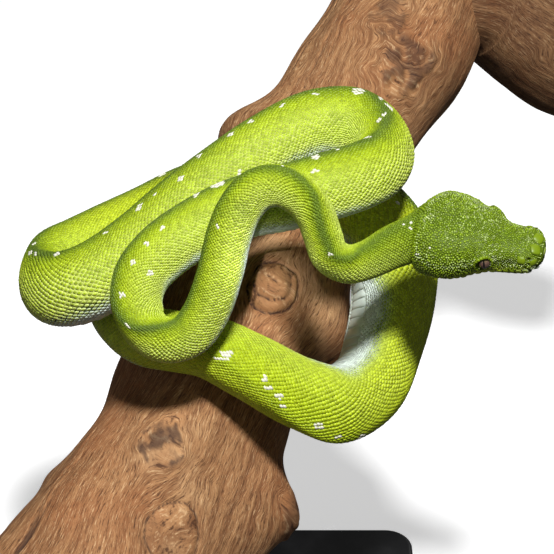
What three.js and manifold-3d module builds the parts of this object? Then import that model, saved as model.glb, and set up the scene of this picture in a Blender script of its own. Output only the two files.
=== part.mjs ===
// A green tree python coiled on a cut length of branch, held by a plain rod stand.
// Millimetres, +Z up. The origin is the middle of the base plate's underside.
import * as THREE from 'three';
import { mergeVertices } from 'three/addons/utils/BufferGeometryUtils.js';
import Module from 'manifold-3d';

const wasm = await Module();
wasm.setup();

// Overall sizes
const COIL_CENTRE = [8, 4, 190];
const LEAN_DEG = 33;
const JOINT_GAP = 0.3;
const REST_GAP = 0.3;

// Body section
const WIDTH_TO_HEIGHT = 0.88;
const RIDGE_RISE = 0.03;
const AROUND = 16;
const RING_STEP = 9;
const RING_TURN_DEG = 20;

// Head
const HEAD_FORWARD = [0.945, -0.147, 0.29];
const HEAD_RIGHT = [-0.287, -0.798, 0.53];
const MOUTH_CORNER = 12;
const MOUTH_DEPTH = 0.7;
const LIP_SWELL = 0.35;
const EYE_RADIUS = 2.45;
const EYE_PLACE = [25.2, 10.1, 2.9];
const NOSTRIL_RADIUS = 0.75;
const PIT_RADIUS = 0.65;

// Branch
const BRANCH_START = -166;
const BRANCH_END = 168;
const BRANCH_DIRECTION = [0.433, 0.828, 0.357];
const BRANCH_MIDDLE = [-4.5, 0, 38];

// Stand
const BASE_SIZE = 140;
const BASE_THICKNESS = 8;
const BASE_CORNER = 12;
const ROD_RADIUS = 6;
const FOOT_RADIUS = 11;
const FOOT_HEIGHT = 4;
const ROD_LOW = [-40, -40];
const ROD_MID = [-6, 22];
const SOCKET_DEPTH = 22;

const lean = THREE.MathUtils.degToRad(LEAN_DEG);
const sinLean = Math.sin(lean);
const cosLean = Math.cos(lean);

// The coils lie about a plane that leans back by LEAN_DEG: across it, up it and deep behind it.
function leaned([across, rise, deep]) {
  return new THREE.Vector3(
    across,
    rise * sinLean + deep * cosLean,
    rise * cosLean - deep * sinLean,
  );
}

function placed(point) {
  return leaned(point).add(new THREE.Vector3(...COIL_CENTRE));
}

// A facing is given as across, up the plane and out of its front.
function facing([across, rise, out]) {
  return leaned([across, rise, -out]).normalize();
}

// Each length of the snake: stations of across, rise, deep, body height, then the way the back faces.
const LENGTHS = [
  { name: 'neck_1', stations: [
    [52.5, 15.5, -47, 19, -0.15, 0.58, 0.8],
    [42, 11.5, -50, 17.4, -0.15, 0.6, 0.78],
  ] },
  { name: 'neck_2', stations: [
    [32, 6.5, -53, 15.6, -0.12, 0.5, 0.85],
    [25, 5, -55.5, 15.6, -0.08, 0.36, 0.92],
    [19, 8, -58, 15.6, 0.1, 0.1, 0.98],
  ] },
  { name: 'neck_3', stations: [
    [16.3, 14.5, -60.5, 15.6, 0, 0.05, 1],
    [13.5, 21.8, -63, 15.8, 0, 0.05, 0.98],
  ] },
  { name: 'body_1', stations: [
    [8.5, 28.5, -65, 16, 0.22, 0.35, 0.9],
    [1, 32.3, -66, 16.2, 0.08, 0.68, 0.72],
  ] },
  { name: 'body_2', stations: [
    [-6.5, 30.8, -65.5, 16.4, -0.36, 0.74, 0.55],
    [-12.5, 24.5, -64, 16.5, -0.72, 0.5, 0.45],
  ] },
  { name: 'body_3', stations: [
    [-16.5, 15, -62, 16.8, -0.88, 0.25, 0.38],
    [-20, 1, -58, 17, -0.9, 0.2, 0.4],
  ] },
  { name: 'body_4', stations: [
    [-25.5, -13, -53.5, 17.4, -0.8, 0.3, 0.5],
    [-31.6, -20.2, -51.5, 17.8, -0.55, 0.5, 0.65],
  ] },
  { name: 'body_5', stations: [
    [-40.2, -22, -50.5, 18.6, -0.2, 0.5, 0.83],
    [-47.8, -17.7, -49.5, 19.4, -0.45, 0.3, 0.82],
  ] },
  { name: 'body_6', stations: [
    [-50.8, -9, -49, 20.2, -0.72, 0.08, 0.68],
    [-48.5, 0, -48.5, 21, -0.8, 0.32, 0.45],
    [-41, 8.5, -48, 21.8, -0.7, 0.65, 0.3],
  ] },
  { name: 'body_7', stations: [
    [-28.5, 17, -46, 22.5, -0.55, 0.8, 0.2],
    [-13.5, 24, -44, 23.3, -0.3, 0.93, 0.1],
    [3, 28, -41, 24.5, -0.1, 0.99, 0.1],
  ] },
  { name: 'body_8', stations: [
    [17.5, 32, -39, 25.4, -0.05, 0.97, 0.2],
    [29, 36.2, -35.5, 25.6, -0.05, 0.93, 0.35],
  ] },
  { name: 'body_9', stations: [
    [36.8, 41, -30.5, 25.6, -0.05, 0.83, 0.5],
    [39.8, 47.5, -23.5, 25.8, 0, 0.78, 0.6],
  ] },
  { name: 'body_10', stations: [
    [37, 54, -17, 26, 0.1, 0.83, 0.52],
    [29, 58, -13, 26.2, 0.05, 0.92, 0.3],
  ] },
  { name: 'body_11', stations: [
    [15, 57, -13.5, 26.4, -0.15, 0.96, 0.15],
    [-2.5, 48, -17, 26.8, -0.38, 0.9, 0],
    [-20, 35.5, -20, 27.2, -0.5, 0.85, 0],
  ] },
  { name: 'body_12', stations: [
    [-34.5, 24, -21.5, 27.7, -0.55, 0.83, 0],
    [-48.5, 11.5, -22.5, 28.4, -0.5, 0.83, 0],
    [-60.5, 2.3, -23, 29, -0.42, 0.9, 0],
  ] },
  { name: 'body_13', stations: [
    [-70.3, -3, -22, 29.2, -0.4, 0.9, 0],
    [-78.2, -5, -17, 29.2, -0.42, 0.9, 0.05],
    [-84.5, -3.6, -8.5, 29.2, -0.45, 0.87, 0.1],
  ] },
  { name: 'body_14', stations: [
    [-86.5, -1, 0.5, 29.5, -0.45, 0.85, 0.15],
    [-83.5, 4.5, 8.5, 29.3, -0.45, 0.87, 0.1],
    [-76, 9, 12.5, 28.2, -0.4, 0.9, 0],
  ] },
  { name: 'body_15', stations: [
    [-65, 14.5, 13.5, 27.8, -0.4, 0.9, 0],
    [-49, 21.8, 13.5, 27.8, -0.45, 0.87, 0.05],
  ] },
  { name: 'body_16', stations: [
    [-31, 30.5, 13.5, 28.4, -0.35, 0.85, 0.35],
    [-12, 36.5, 12.5, 28.4, -0.15, 0.78, 0.6],
    [6.5, 38, 11.5, 28.7, 0.1, 0.72, 0.68],
  ] },
  { name: 'body_17', stations: [
    [24.5, 34, 10, 29, 0.4, 0.62, 0.62],
    [37, 23.5, 8.5, 30.5, 0.75, 0.4, 0.35],
  ] },
  { name: 'body_18', stations: [
    [43.8, 8.5, 8, 32.6, 0.93, 0.1, -0.1],
    [45, -8, 8, 31.8, 0.9, 0, -0.4],
    [41.5, -24.5, 4, 31, 0.85, -0.3, -0.4],
  ] },
  { name: 'body_19', stations: [
    [35.2, -39.6, -4, 30.8, 0.65, -0.72, -0.2],
    [22.6, -47, -14, 30, 0.25, -0.95, 0.1],
  ] },
  { name: 'body_20', stations: [
    [7.5, -43.5, -22, 29, -0.1, -0.65, 0.75],
    [-9.5, -34, -28, 28, -0.1, -0.25, 0.96],
    [-25.5, -25.8, -29, 26.5, -0.05, 0, 0.99],
  ] },
  { name: 'body_21', stations: [
    [-39, -23.2, -24.5, 25.6, 0, 0.3, 0.95],
    [-49.5, -21.5, -14, 25, 0.15, 0.6, 0.8],
    [-58, -16.6, 2, 24.6, 0.4, 0.65, 0.6],
  ] },
  { name: 'body_22', stations: [
    [-62.5, -11.5, 18, 24.2, 0.5, 0.8, 0.35],
    [-61, -9, 35, 23.6, 0.35, 0.9, 0.1],
  ] },
  { name: 'body_23', stations: [
    [-54.5, -11, 51, 22.6, 0, 0.9, -0.35],
    [-46, -19, 61.5, 21.4, -0.35, 0.5, -0.75],
    [-41.5, -32, 66, 20, -0.35, 0.1, -0.92],
  ] },
  { name: 'body_24', stations: [
    [-39, -47, 68, 18, -0.2, 0.1, -0.97],
    [-38, -62, 72, 15.6, -0.1, 0.1, -0.98],
  ] },
  { name: 'tail_1', stations: [
    [-37, -76, 78, 12.8, -0.05, 0.1, -0.99],
    [-37.5, -90, 85, 10.6, 0, 0, -1],
  ] },
  { name: 'tail_2', stations: [
    [-42, -103, 91, 9, 0, 0, -1],
    [-52, -111, 95, 7.8, 0, 0, -1],
  ] },
  { name: 'tail_3', stations: [
    [-64, -110.5, 95.5, 6.6, 0, 0, -1],
    [-73, -102.5, 92.5, 5.5, 0, 0, -1],
  ] },
  { name: 'tail_4', stations: [
    [-73.5, -92.5, 88.5, 4.5, 0, 0, -1],
    [-66, -86.5, 85.5, 3.5, 0, 0, -1],
    [-58.5, -90, 86.5, 2.4, 0, 0, -1],
  ] },
];

// Centripetal Catmull-Rom through rows of numbers, the first three of which are the place.
function splineRow(rows, knots, i, u) {
  const row = (k) => rows[Math.min(Math.max(k, 0), rows.length - 1)];
  const knot = (k) => {
    if (k < 0) return 2 * knots[0] - knots[1];
    if (k >= knots.length) return 2 * knots.at(-1) - knots.at(-2);
    return knots[k];
  };
  const end = (k) => {
    if (k >= 0 && k < rows.length) return row(k);
    const a = k < 0 ? row(0) : row(rows.length - 1);
    const b = k < 0 ? row(1) : row(rows.length - 2);
    return a.map((v, j) => 2 * v - b[j]);
  };
  const t = knot(i) + u * (knot(i + 1) - knot(i));
  const mix = (a, b, ta, tb) => a.map((v, j) => v + ((t - ta) / (tb - ta)) * (b[j] - v));
  const [p0, p1, p2, p3] = [end(i - 1), end(i), end(i + 1), end(i + 2)];
  const [t0, t1, t2, t3] = [knot(i - 1), knot(i), knot(i + 1), knot(i + 2)];
  const a1 = mix(p0, p1, t0, t1);
  const a2 = mix(p1, p2, t1, t2);
  const a3 = mix(p2, p3, t2, t3);
  const b1 = mix(a1, a2, t0, t2);
  const b2 = mix(a2, a3, t1, t3);
  return mix(b1, b2, t1, t2);
}

// The snake's line as a close table of arc length, place, height and the way the back faces.
function bodyLine() {
  const rows = [];
  const starts = [];
  for (const length of LENGTHS) {
    starts.push(rows.length);
    for (const [a, r, d, height, fa, fr, fo] of length.stations) {
      const place = placed([a, r, d]);
      const back = facing([fa, fr, fo]);
      rows.push([...place.toArray(), height, ...back.toArray()]);
    }
  }
  const knots = [0];
  for (let i = 1; i < rows.length; i++) {
    const step = Math.hypot(...[0, 1, 2].map((k) => rows[i][k] - rows[i - 1][k]));
    knots.push(knots[i - 1] + Math.sqrt(step));
  }
  const table = [];
  const cuts = [];
  const perSpan = 20;
  for (let i = 0; i < rows.length - 1; i++) {
    for (let k = 0; k < perSpan; k++) {
      const row = splineRow(rows, knots, i, k / perSpan);
      const last = table.at(-1);
      const run = last ? Math.hypot(...[0, 1, 2].map((j) => row[j] - last[j + 1])) : 0;
      const s = last ? last[0] + run : 0;
      if (k === 0 && starts.includes(i)) cuts.push(s);
      table.push([s, ...row]);
    }
  }
  const tip = rows.at(-1);
  const last = table.at(-1);
  const run = Math.hypot(...[0, 1, 2].map((j) => tip[j] - last[j + 1]));
  table.push([last[0] + run, ...tip]);
  cuts.push(last[0] + run);
  return { table, cuts };
}

const line = bodyLine();

function lineAt(s) {
  const table = line.table;
  let low = 0;
  let high = table.length - 1;
  while (high - low > 1) {
    const mid = (low + high) >> 1;
    if (table[mid][0] <= s) low = mid;
    else high = mid;
  }
  const a = table[low];
  const b = table[high];
  const u = (s - a[0]) / (b[0] - a[0]);
  return a.map((v, j) => v + u * (b[j] - v));
}

// Place, forward, back and side directions and the body height at arc length s from the head.
function frameAt(s) {
  const row = lineAt(s);
  const ahead = lineAt(Math.min(s + 1.5, line.table.at(-1)[0]));
  const behind = lineAt(Math.max(s - 1.5, 0));
  const place = new THREE.Vector3(row[1], row[2], row[3]);
  const run = new THREE.Vector3(ahead[1] - behind[1], ahead[2] - behind[2], ahead[3] - behind[3]);
  run.normalize();
  const back = new THREE.Vector3(row[5], row[6], row[7]);
  back.addScaledVector(run, -back.dot(run)).normalize();
  const side = new THREE.Vector3().crossVectors(run, back);
  return { place, run, back, side, height: row[4] };
}

// The body's section: deeper than wide, narrower to the back, a low ridge on top, a flatter belly.
function sectionPoint(angle, height) {
  const c = Math.cos(angle);
  const s = Math.sin(angle);
  const width = height * WIDTH_TO_HEIGHT;
  const fromTop = Math.min(angle, 2 * Math.PI - angle);
  const ridge = RIDGE_RISE * height * Math.exp(-((fromTop / 0.3) ** 2));
  let up = 0.5 * height * c + ridge;
  if (c < 0) up *= 1 - 0.1 * c ** 4;
  const across = 0.5 * width * s * (1 - 0.16 * c - 0.05 * c * c);
  return [across, up];
}

function bodyRing(s, grow = 0) {
  const frame = frameAt(s);
  const ring = [];
  for (let i = 0; i < AROUND; i++) {
    const [across, up] = sectionPoint((2 * Math.PI * i) / AROUND, frame.height);
    const reach = Math.hypot(across, up);
    const scale = (reach + grow) / reach;
    ring.push(
      frame.place.clone()
        .addScaledVector(frame.side, across * scale)
        .addScaledVector(frame.back, up * scale),
    );
  }
  return ring;
}

// A closed solid through rings of points that all run the same way round.
function skinRings(rings) {
  const n = rings[0].length;
  const vertices = rings.flat();
  const faces = [];
  for (let r = 0; r < rings.length - 1; r++) {
    for (let i = 0; i < n; i++) {
      const a = r * n + i;
      const b = r * n + ((i + 1) % n);
      faces.push([a, b, b + n], [a, b + n, a + n]);
    }
  }
  for (const [ring, turned] of [[0, true], [rings.length - 1, false]]) {
    const middle = new THREE.Vector3();
    for (const point of rings[ring]) middle.addScaledVector(point, 1 / n);
    vertices.push(middle);
    const m = vertices.length - 1;
    for (let i = 0; i < n; i++) {
      const a = ring * n + i;
      const b = ring * n + ((i + 1) % n);
      faces.push(turned ? [b, a, m] : [a, b, m]);
    }
  }
  let made = fromFaces(vertices, faces);
  if (made.volume() < 0) made = fromFaces(vertices, faces.map(([a, b, c]) => [a, c, b]));
  return made;
}

function largest(solid) {
  return solid.decompose().reduce((best, piece) => (piece.volume() > best.volume() ? piece : best));
}

function fromFaces(vertices, faces) {
  return new wasm.Manifold(new wasm.Mesh({
    numProp: 3,
    vertProperties: new Float32Array(vertices.flatMap((v) => [v.x, v.y, v.z])),
    triVerts: new Uint32Array(faces.flat()),
  }));
}

function fromGeometry(geometry) {
  const bare = geometry.clone();
  bare.deleteAttribute('normal');
  bare.deleteAttribute('uv');
  const merged = mergeVertices(bare, 1e-4);
  const triVerts = merged.index
    ? new Uint32Array(merged.index.array)
    : Uint32Array.from({ length: merged.attributes.position.count }, (_, i) => i);
  return new wasm.Manifold(new wasm.Mesh({
    numProp: 3,
    vertProperties: new Float32Array(merged.attributes.position.array),
    triVerts,
  }));
}

// Rings lie RING_STEP apart on the straights and closer round the bends.
function ringCount(from, to) {
  const runs = [];
  for (let s = from; s <= to; s += 1) runs.push(frameAt(s).run);
  let bend = 0;
  for (let i = 1; i < runs.length; i++) bend += runs[i].angleTo(runs[i - 1]);
  const byBend = THREE.MathUtils.radToDeg(bend) / RING_TURN_DEG;
  return Math.max(2, Math.round(Math.hypot((to - from) / RING_STEP, byBend)));
}

function bodyLength(from, to, grow = 0) {
  const count = ringCount(from, to);
  const rings = [];
  for (let i = 0; i <= count; i++) rings.push(bodyRing(from + ((to - from) * i) / count, grow));
  return skinRings(rings);
}

// Smooth value of a table of [x, value] pairs.
function tableAt(pairs, x) {
  if (x <= pairs[0][0]) return pairs[0][1];
  for (let i = 1; i < pairs.length; i++) {
    if (x > pairs[i][0]) continue;
    const u = (x - pairs[i - 1][0]) / (pairs[i][0] - pairs[i - 1][0]);
    const e = u * u * (3 - 2 * u);
    return pairs[i - 1][1] * (1 - (0.5 * u + 0.5 * e)) + pairs[i][1] * (0.5 * u + 0.5 * e);
  }
  return pairs.at(-1)[1];
}

function bump(x, centre, spread) {
  return Math.exp(-(((x - centre) / spread) ** 2));
}

// Head, in its own frame: x forward from the neck, y to its left, z up.
const HEAD_LENGTH = 44.9;
const HEAD_BACK = 10; // the head's solid takes in this much of the neck
const NECK_FROM = [-7, 2.5]; // where the neck starts to turn into the head, and how much later on the left
const NECK_TO = [5, 3.5];
const HEAD_HALF_WIDTH = [
  [-10, 13], [-3, 13.5], [0, 14.6], [5, 16.6], [8.5, 17.1], [12.5, 16.8], [17, 15.5], [22, 12.6],
  [27, 10.5], [31, 9.3], [36, 9.1], [40, 8.5], [43, 5.8], [44.9, 2.5],
];
const HEAD_CROWN = [
  [-10, 9.6], [0, 11.2], [6, 11.6], [12.5, 10.8], [19, 10], [25, 8.8], [30, 7], [36, 5.8], [40, 5],
  [43, 3.6], [44.9, 2],
];
const HEAD_THROAT = [
  [-10, -9.6], [0, -10.2], [6, -10], [13, -9.4], [21, -8.3], [30, -7], [38, -6.3], [42.4, -5.2],
  [44.9, -3],
];
const HEAD_LIFT = [[-10, 0], [0, 1], [6, 1.3], [14, 1.2], [25, 1.1], [31, -0.2], [38, 0], [46, 0]];
const MOUTH_HEIGHT = [[10, -4.8], [20, -3.9], [31, -3.4], [44.9, -1.6]];

function headSection(x, angle) {
  const c = Math.cos(angle);
  const s = Math.sin(angle);
  const power = 2.35;
  const r = (Math.abs(s) ** power + Math.abs(c) ** power) ** (-1 / power);
  const half = tableAt(HEAD_HALF_WIDTH, x);
  const reach = c > 0 ? tableAt(HEAD_CROWN, x) : -tableAt(HEAD_THROAT, x);
  const narrowing = c < 0 ? 1 - 0.12 * c * c : 1 - 0.14 * c * c * bump(x, 38, 14);
  return [half * s * r * narrowing, reach * c * r + tableAt(HEAD_LIFT, x)];
}

// The angle on one side of the head at which the section passes a given height.
function headAngleAt(x, z) {
  let low = 0.2;
  let high = Math.PI - 0.2;
  for (let i = 0; i < 30; i++) {
    const mid = (low + high) / 2;
    if (headSection(x, mid)[1] > z) low = mid;
    else high = mid;
  }
  return (low + high) / 2;
}

function headAngles(x) {
  const mouth = headAngleAt(x, tableAt(MOUTH_HEIGHT, x));
  const lip = 1.3 / tableAt(HEAD_HALF_WIDTH, x);
  const angles = [];
  for (let i = 0; i < 8; i++) angles.push(((mouth - 2 * lip) * i) / 8);
  angles.push(mouth - 2 * lip, mouth - lip, mouth - 0.35 * lip, mouth, mouth + 0.35 * lip);
  angles.push(mouth + lip, mouth + 2 * lip);
  for (let i = 1; i <= 5; i++) {
    angles.push(mouth + 2 * lip + ((Math.PI - mouth - 2 * lip) * i) / 5);
  }
  const swells = angles.map(() => 0);
  const open = THREE.MathUtils.smoothstep(x, MOUTH_CORNER - 2.5, MOUTH_CORNER + 1.5);
  swells[9] = LIP_SWELL * open;
  swells[10] = 0.5 * LIP_SWELL * open;
  swells[11] = -MOUTH_DEPTH * open;
  swells[12] = 0.5 * LIP_SWELL * open;
  swells[13] = LIP_SWELL * open;
  return { angles, swells };
}

function headRing(x) {
  const { angles, swells } = headAngles(Math.max(x, 5));
  const one = angles.map((angle, i) => {
    const [across, up] = headSection(x, angle);
    const brow = 1 * bump(x, EYE_PLACE[0], 4.5) * bump(angle, 0.95, 0.3);
    const nasal = 0.8 * bump(x, 41.3, 3) * bump(angle, 0.75, 0.4);
    const furrow = -0.7 * bump(x, 11, 8) * bump(angle, 0, 0.3);
    const lore = -0.6 * bump(x, 34, 4) * bump(angle, 1.25, 0.3);
    const grow = swells[i] + brow + nasal + furrow + lore;
    const reach = Math.hypot(across, up);
    return [across * (1 + grow / reach), up * (1 + grow / reach)];
  });
  const other = one.slice(1, -1).reverse().map(([across, up]) => [-across, up]);
  return [...one, ...other].map(([across, up]) => [x, across, up]);
}

const headForward = facing(HEAD_FORWARD);
const headRight = facing(HEAD_RIGHT);
headRight.addScaledVector(headForward, -headRight.dot(headForward)).normalize();
const headLeft = headRight.clone().negate();
const headUp = new THREE.Vector3().crossVectors(headForward, headLeft);
const neckEnd = frameAt(0);

function headPlace([x, y, z]) {
  return neckEnd.place.clone()
    .addScaledVector(headForward, x)
    .addScaledVector(headLeft, y)
    .addScaledVector(headUp, z);
}

function ball(radius, place, wide = 14, high = 10) {
  const geometry = new THREE.SphereGeometry(radius, wide, high);
  geometry.translate(place.x, place.y, place.z);
  return fromGeometry(geometry);
}

// A ring of the head at x, which turns into the neck behind it, further back on the right.
function headAndNeckRing(x) {
  const neck = frameAt(Math.max(-x, 0));
  const ring = headRing(x);
  const { angles } = headAngles(Math.max(x, 5));
  const halves = [...angles, ...angles.slice(1, -1).reverse().map((angle) => -angle)];
  return halves.map((angle, i) => {
    const [across, up] = sectionPoint((angle + 2 * Math.PI) % (2 * Math.PI), neck.height);
    const point = neck.place.clone()
      .addScaledVector(neck.run, -Math.max(x, 0))
      .addScaledVector(neck.side, across)
      .addScaledVector(neck.back, up);
    const side = Math.sin(angle);
    const from = NECK_FROM[0] + NECK_FROM[1] * side;
    const to = NECK_TO[0] + NECK_TO[1] * side;
    return point.lerp(headPlace(ring[i]), THREE.MathUtils.smoothstep(x, from, to));
  });
}

function headSolid() {
  const stops = [
    -8.5, -7, -5.5, -4, -2.5, -1, 0.5, 2, 3.5, 5, 7, 9, 11.5, 13.5, 16, 19, 22, 25, 28, 31, 34, 37,
    39.5, 41.5, 43, 44.2, 44.9,
  ];
  const rings = [headAndNeckRing(JOINT_GAP / 2 - HEAD_BACK)];
  for (const x of stops) rings.push(headAndNeckRing(x));
  let head = skinRings(rings);
  const slot = new THREE.BoxGeometry(2.4, 11, 0.5);
  slot.translate(HEAD_LENGTH, 0, tableAt(MOUTH_HEIGHT, HEAD_LENGTH));
  const toHead = new THREE.Matrix4().makeBasis(headForward, headLeft, headUp);
  toHead.setPosition(neckEnd.place);
  slot.applyMatrix4(toHead);
  head = head.subtract(fromGeometry(slot));
  for (const side of [1, -1]) {
    const [ex, ey, ez] = EYE_PLACE;
    head = head.subtract(ball(EYE_RADIUS + JOINT_GAP, headPlace([ex, side * ey, ez]), 18, 11));
    const dents = [[40.2, 3.2, NOSTRIL_RADIUS]];
    for (const x of [43.7, 41.8, 39]) dents.push([x, 0.4, PIT_RADIUS]);
    for (const x of [21, 24.2, 27.4, 30.6]) dents.push([x, -5.6, PIT_RADIUS]);
    for (const [x, z, radius] of dents) {
      const y = headSection(x, headAngleAt(x, z))[0] + 0.2;
      head = head.subtract(ball(radius, headPlace([x, side * y, z]), 7, 5));
    }
  }
  return head;
}

// Branch, swept along a straight axis with swellings given by place along it and angle round it.
const branchAxis = leaned(BRANCH_DIRECTION).normalize();
const branchRight = leaned([0.889, -0.457, 0]);
branchRight.addScaledVector(branchAxis, -branchRight.dot(branchAxis)).normalize();
const branchFront = new THREE.Vector3().crossVectors(branchRight, branchAxis);
const BRANCH_TAPER = [[-166, 49], [-140, 43], [-110, 38], [-70, 36], [0, 35], [80, 33], [168, 33]];
const SWELLINGS = [
  { along: -84, around: 0, rise: 18, length: 14, spread: 0.5 },
  { along: -106, around: 0, rise: 9, length: 14, spread: 0.7 },
  { along: -13, around: 0, rise: 9.2, length: 14, spread: 0.7 },
  { along: 44, around: 0, rise: -7, length: 32, spread: 0.8 },
  { along: 118, around: 0, rise: 5, length: 24, spread: 0.7 },
  { along: 51, around: 180, rise: 14, length: 16, spread: 0.7 },
  { along: 118, around: 180, rise: -2.5, length: 22, spread: 0.8 },
  { along: 33, around: 95, rise: -8, length: 24, spread: 1.0 },
  { along: -83, around: 180, rise: -2.8, length: 15, spread: 0.8 },
  { along: -113, around: 178, rise: 2.5, length: 7, spread: 0.35 },
  { along: -16, around: 83, rise: 4, length: 9, spread: 0.26 },
  { along: -120, around: 120, rise: 3, length: 14, spread: 0.5 },
  { along: 100, around: 120, rise: 2.5, length: 14, spread: 0.5 },
  { along: -57, around: -5, rise: 2.8, length: 11, spread: 0.6 },
];

function branchRadius(along, angle) {
  let radius = tableAt(BRANCH_TAPER, along);
  radius += 0.8 * Math.sin(3 * angle + 0.045 * along) + 0.6 * Math.sin(5 * angle - 0.08 * along);
  for (const s of SWELLINGS) {
    let turn = angle - THREE.MathUtils.degToRad(s.around);
    turn = Math.atan2(Math.sin(turn), Math.cos(turn));
    radius += s.rise * bump(along, s.along, s.length) * bump(turn, 0, s.spread);
  }
  return radius;
}

const BRANCH_AROUND = 28;
const BRANCH_RINGS = 40;

function branchTrunk(grow = 0) {
  const rings = [];
  for (let r = 0; r <= BRANCH_RINGS; r++) {
    const end = BRANCH_END + grow;
    const start = BRANCH_START - grow;
    const along = start + ((end - start) * r) / BRANCH_RINGS;
    const middle = placed(BRANCH_MIDDLE).addScaledVector(branchAxis, along);
    const ring = [];
    for (let i = 0; i < BRANCH_AROUND; i++) {
      const angle = (2 * Math.PI * i) / BRANCH_AROUND;
      const radius = branchRadius(along, angle) + grow;
      ring.push(
        middle.clone()
          .addScaledVector(branchRight, radius * Math.cos(angle))
          .addScaledVector(branchFront, radius * Math.sin(angle)),
      );
    }
    rings.push(ring);
  }
  return skinRings(rings);
}

// The side limb that forks off near the upper end.
const LIMB = [
  [60, 123, 84, 19], [78, 122, 88, 23], [94, 118, 96, 26], [110, 108, 101, 26.8],
  [126, 97, 106, 26.2], [144, 90, 110, 24],
];

function branchLimb() {
  const curve = new THREE.CatmullRomCurve3(LIMB.map(([a, r, d]) => placed([a, r, d])));
  const rings = [];
  const count = 12;
  for (let r = 0; r <= count; r++) {
    const u = r / count;
    const place = curve.getPoint(u);
    const run = curve.getTangent(u);
    const side = new THREE.Vector3().crossVectors(run, branchFront).normalize();
    const front = new THREE.Vector3().crossVectors(side, run);
    const k = Math.min(LIMB.length - 2, Math.floor(u * (LIMB.length - 1)));
    const mix = u * (LIMB.length - 1) - k;
    const base = LIMB[k][3] * (1 - mix) + LIMB[k + 1][3] * mix;
    const ring = [];
    for (let i = 0; i < 24; i++) {
      const angle = (2 * Math.PI * i) / 24;
      const radius = base + 0.8 * Math.sin(3 * angle + 2 * u) + 0.5 * Math.sin(5 * angle - 3 * u);
      ring.push(
        place.clone()
          .addScaledVector(side, radius * Math.cos(angle))
          .addScaledVector(front, radius * Math.sin(angle)),
      );
    }
    rings.push(ring);
  }
  return skinRings(rings);
}

// Stand
function basePlate() {
  const half = BASE_SIZE / 2 - BASE_CORNER;
  const shape = new THREE.Shape();
  shape.absarc(half, half, BASE_CORNER - 1, 0, Math.PI / 2);
  shape.absarc(-half, half, BASE_CORNER - 1, Math.PI / 2, Math.PI);
  shape.absarc(-half, -half, BASE_CORNER - 1, Math.PI, 1.5 * Math.PI);
  shape.absarc(half, -half, BASE_CORNER - 1, 1.5 * Math.PI, 2 * Math.PI);
  const geometry = new THREE.ExtrudeGeometry(shape, {
    depth: BASE_THICKNESS - 2,
    bevelThickness: 1,
    bevelSize: 1,
    bevelSegments: 1,
    curveSegments: 5,
  });
  geometry.translate(0, 0, 1);
  return fromGeometry(geometry);
}

function rodSolid([x, y], bottom, top, grow = 0) {
  const profile = [
    [0, bottom], [FOOT_RADIUS, bottom], [FOOT_RADIUS, bottom + FOOT_HEIGHT - 1],
    [FOOT_RADIUS - 1, bottom + FOOT_HEIGHT], [ROD_RADIUS + grow, bottom + FOOT_HEIGHT],
    [ROD_RADIUS + grow, top - 1], [ROD_RADIUS - 1 + grow, top], [0, top],
  ];
  const geometry = new THREE.LatheGeometry(profile.map(([r, z]) => new THREE.Vector2(r, z)), 20);
  geometry.rotateX(Math.PI / 2);
  geometry.translate(x, y, 0);
  let made = fromGeometry(geometry);
  if (made.volume() < 0) {
    geometry.scale(1, -1, 1);
    made = fromGeometry(geometry);
  }
  return made;
}

// Height of the branch's underside above a point of the floor plan, from rays against its sweep.
function branchUndersideAt([x, y]) {
  const start = placed(BRANCH_MIDDLE);
  let lowest = Infinity;
  for (let along = BRANCH_START; along <= BRANCH_END; along += 2) {
    const middle = start.clone().addScaledVector(branchAxis, along);
    for (let i = 0; i < 120; i++) {
      const angle = (2 * Math.PI * i) / 120;
      const radius = branchRadius(along, angle);
      const point = middle.clone()
        .addScaledVector(branchRight, radius * Math.cos(angle))
        .addScaledVector(branchFront, radius * Math.sin(angle));
      if (Math.hypot(point.x - x, point.y - y) < 4) lowest = Math.min(lowest, point.z);
    }
  }
  return lowest;
}

const GREEN = { color: 0x8fc31f, roughness: 0.5 };
const BARK = { color: 0xa9784e, roughness: 0.85 };
const STEEL = { color: 0x8c9094, roughness: 0.45, metalness: 0.8 };
const EYE = { color: 0x9c7a63, roughness: 0.2 };

const group = new THREE.Group();

function addNode(name, solid, look) {
  const made = solid.getMesh();
  const geometry = new THREE.BufferGeometry();
  const positions = new Float32Array(made.vertProperties);
  geometry.setAttribute('position', new THREE.BufferAttribute(positions, 3));
  geometry.setIndex(new THREE.BufferAttribute(new Uint32Array(made.triVerts), 1));
  geometry.computeVertexNormals();
  const mesh = new THREE.Mesh(geometry, new THREE.MeshStandardMaterial(look));
  mesh.name = name;
  group.add(mesh);
}

const baseTop = BASE_THICKNESS + JOINT_GAP;
const rods = [ROD_LOW, ROD_MID].map((plan) => {
  const top = branchUndersideAt(plan) + SOCKET_DEPTH;
  return { solid: rodSolid(plan, baseTop, top), socket: rodSolid(plan, baseTop, top + JOINT_GAP, JOINT_GAP) };
});

let trunk = branchTrunk();
const trunkGrown = branchTrunk(REST_GAP);
const limb = largest(branchLimb().subtract(trunkGrown));
for (const rod of rods) trunk = trunk.subtract(rod.socket);

addNode('head', headSolid(), GREEN);
addNode('eye_left', ball(EYE_RADIUS, headPlace(EYE_PLACE), 18, 11), EYE);
addNode('eye_right', ball(EYE_RADIUS, headPlace([EYE_PLACE[0], -EYE_PLACE[1], EYE_PLACE[2]]), 18, 11), EYE);

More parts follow.
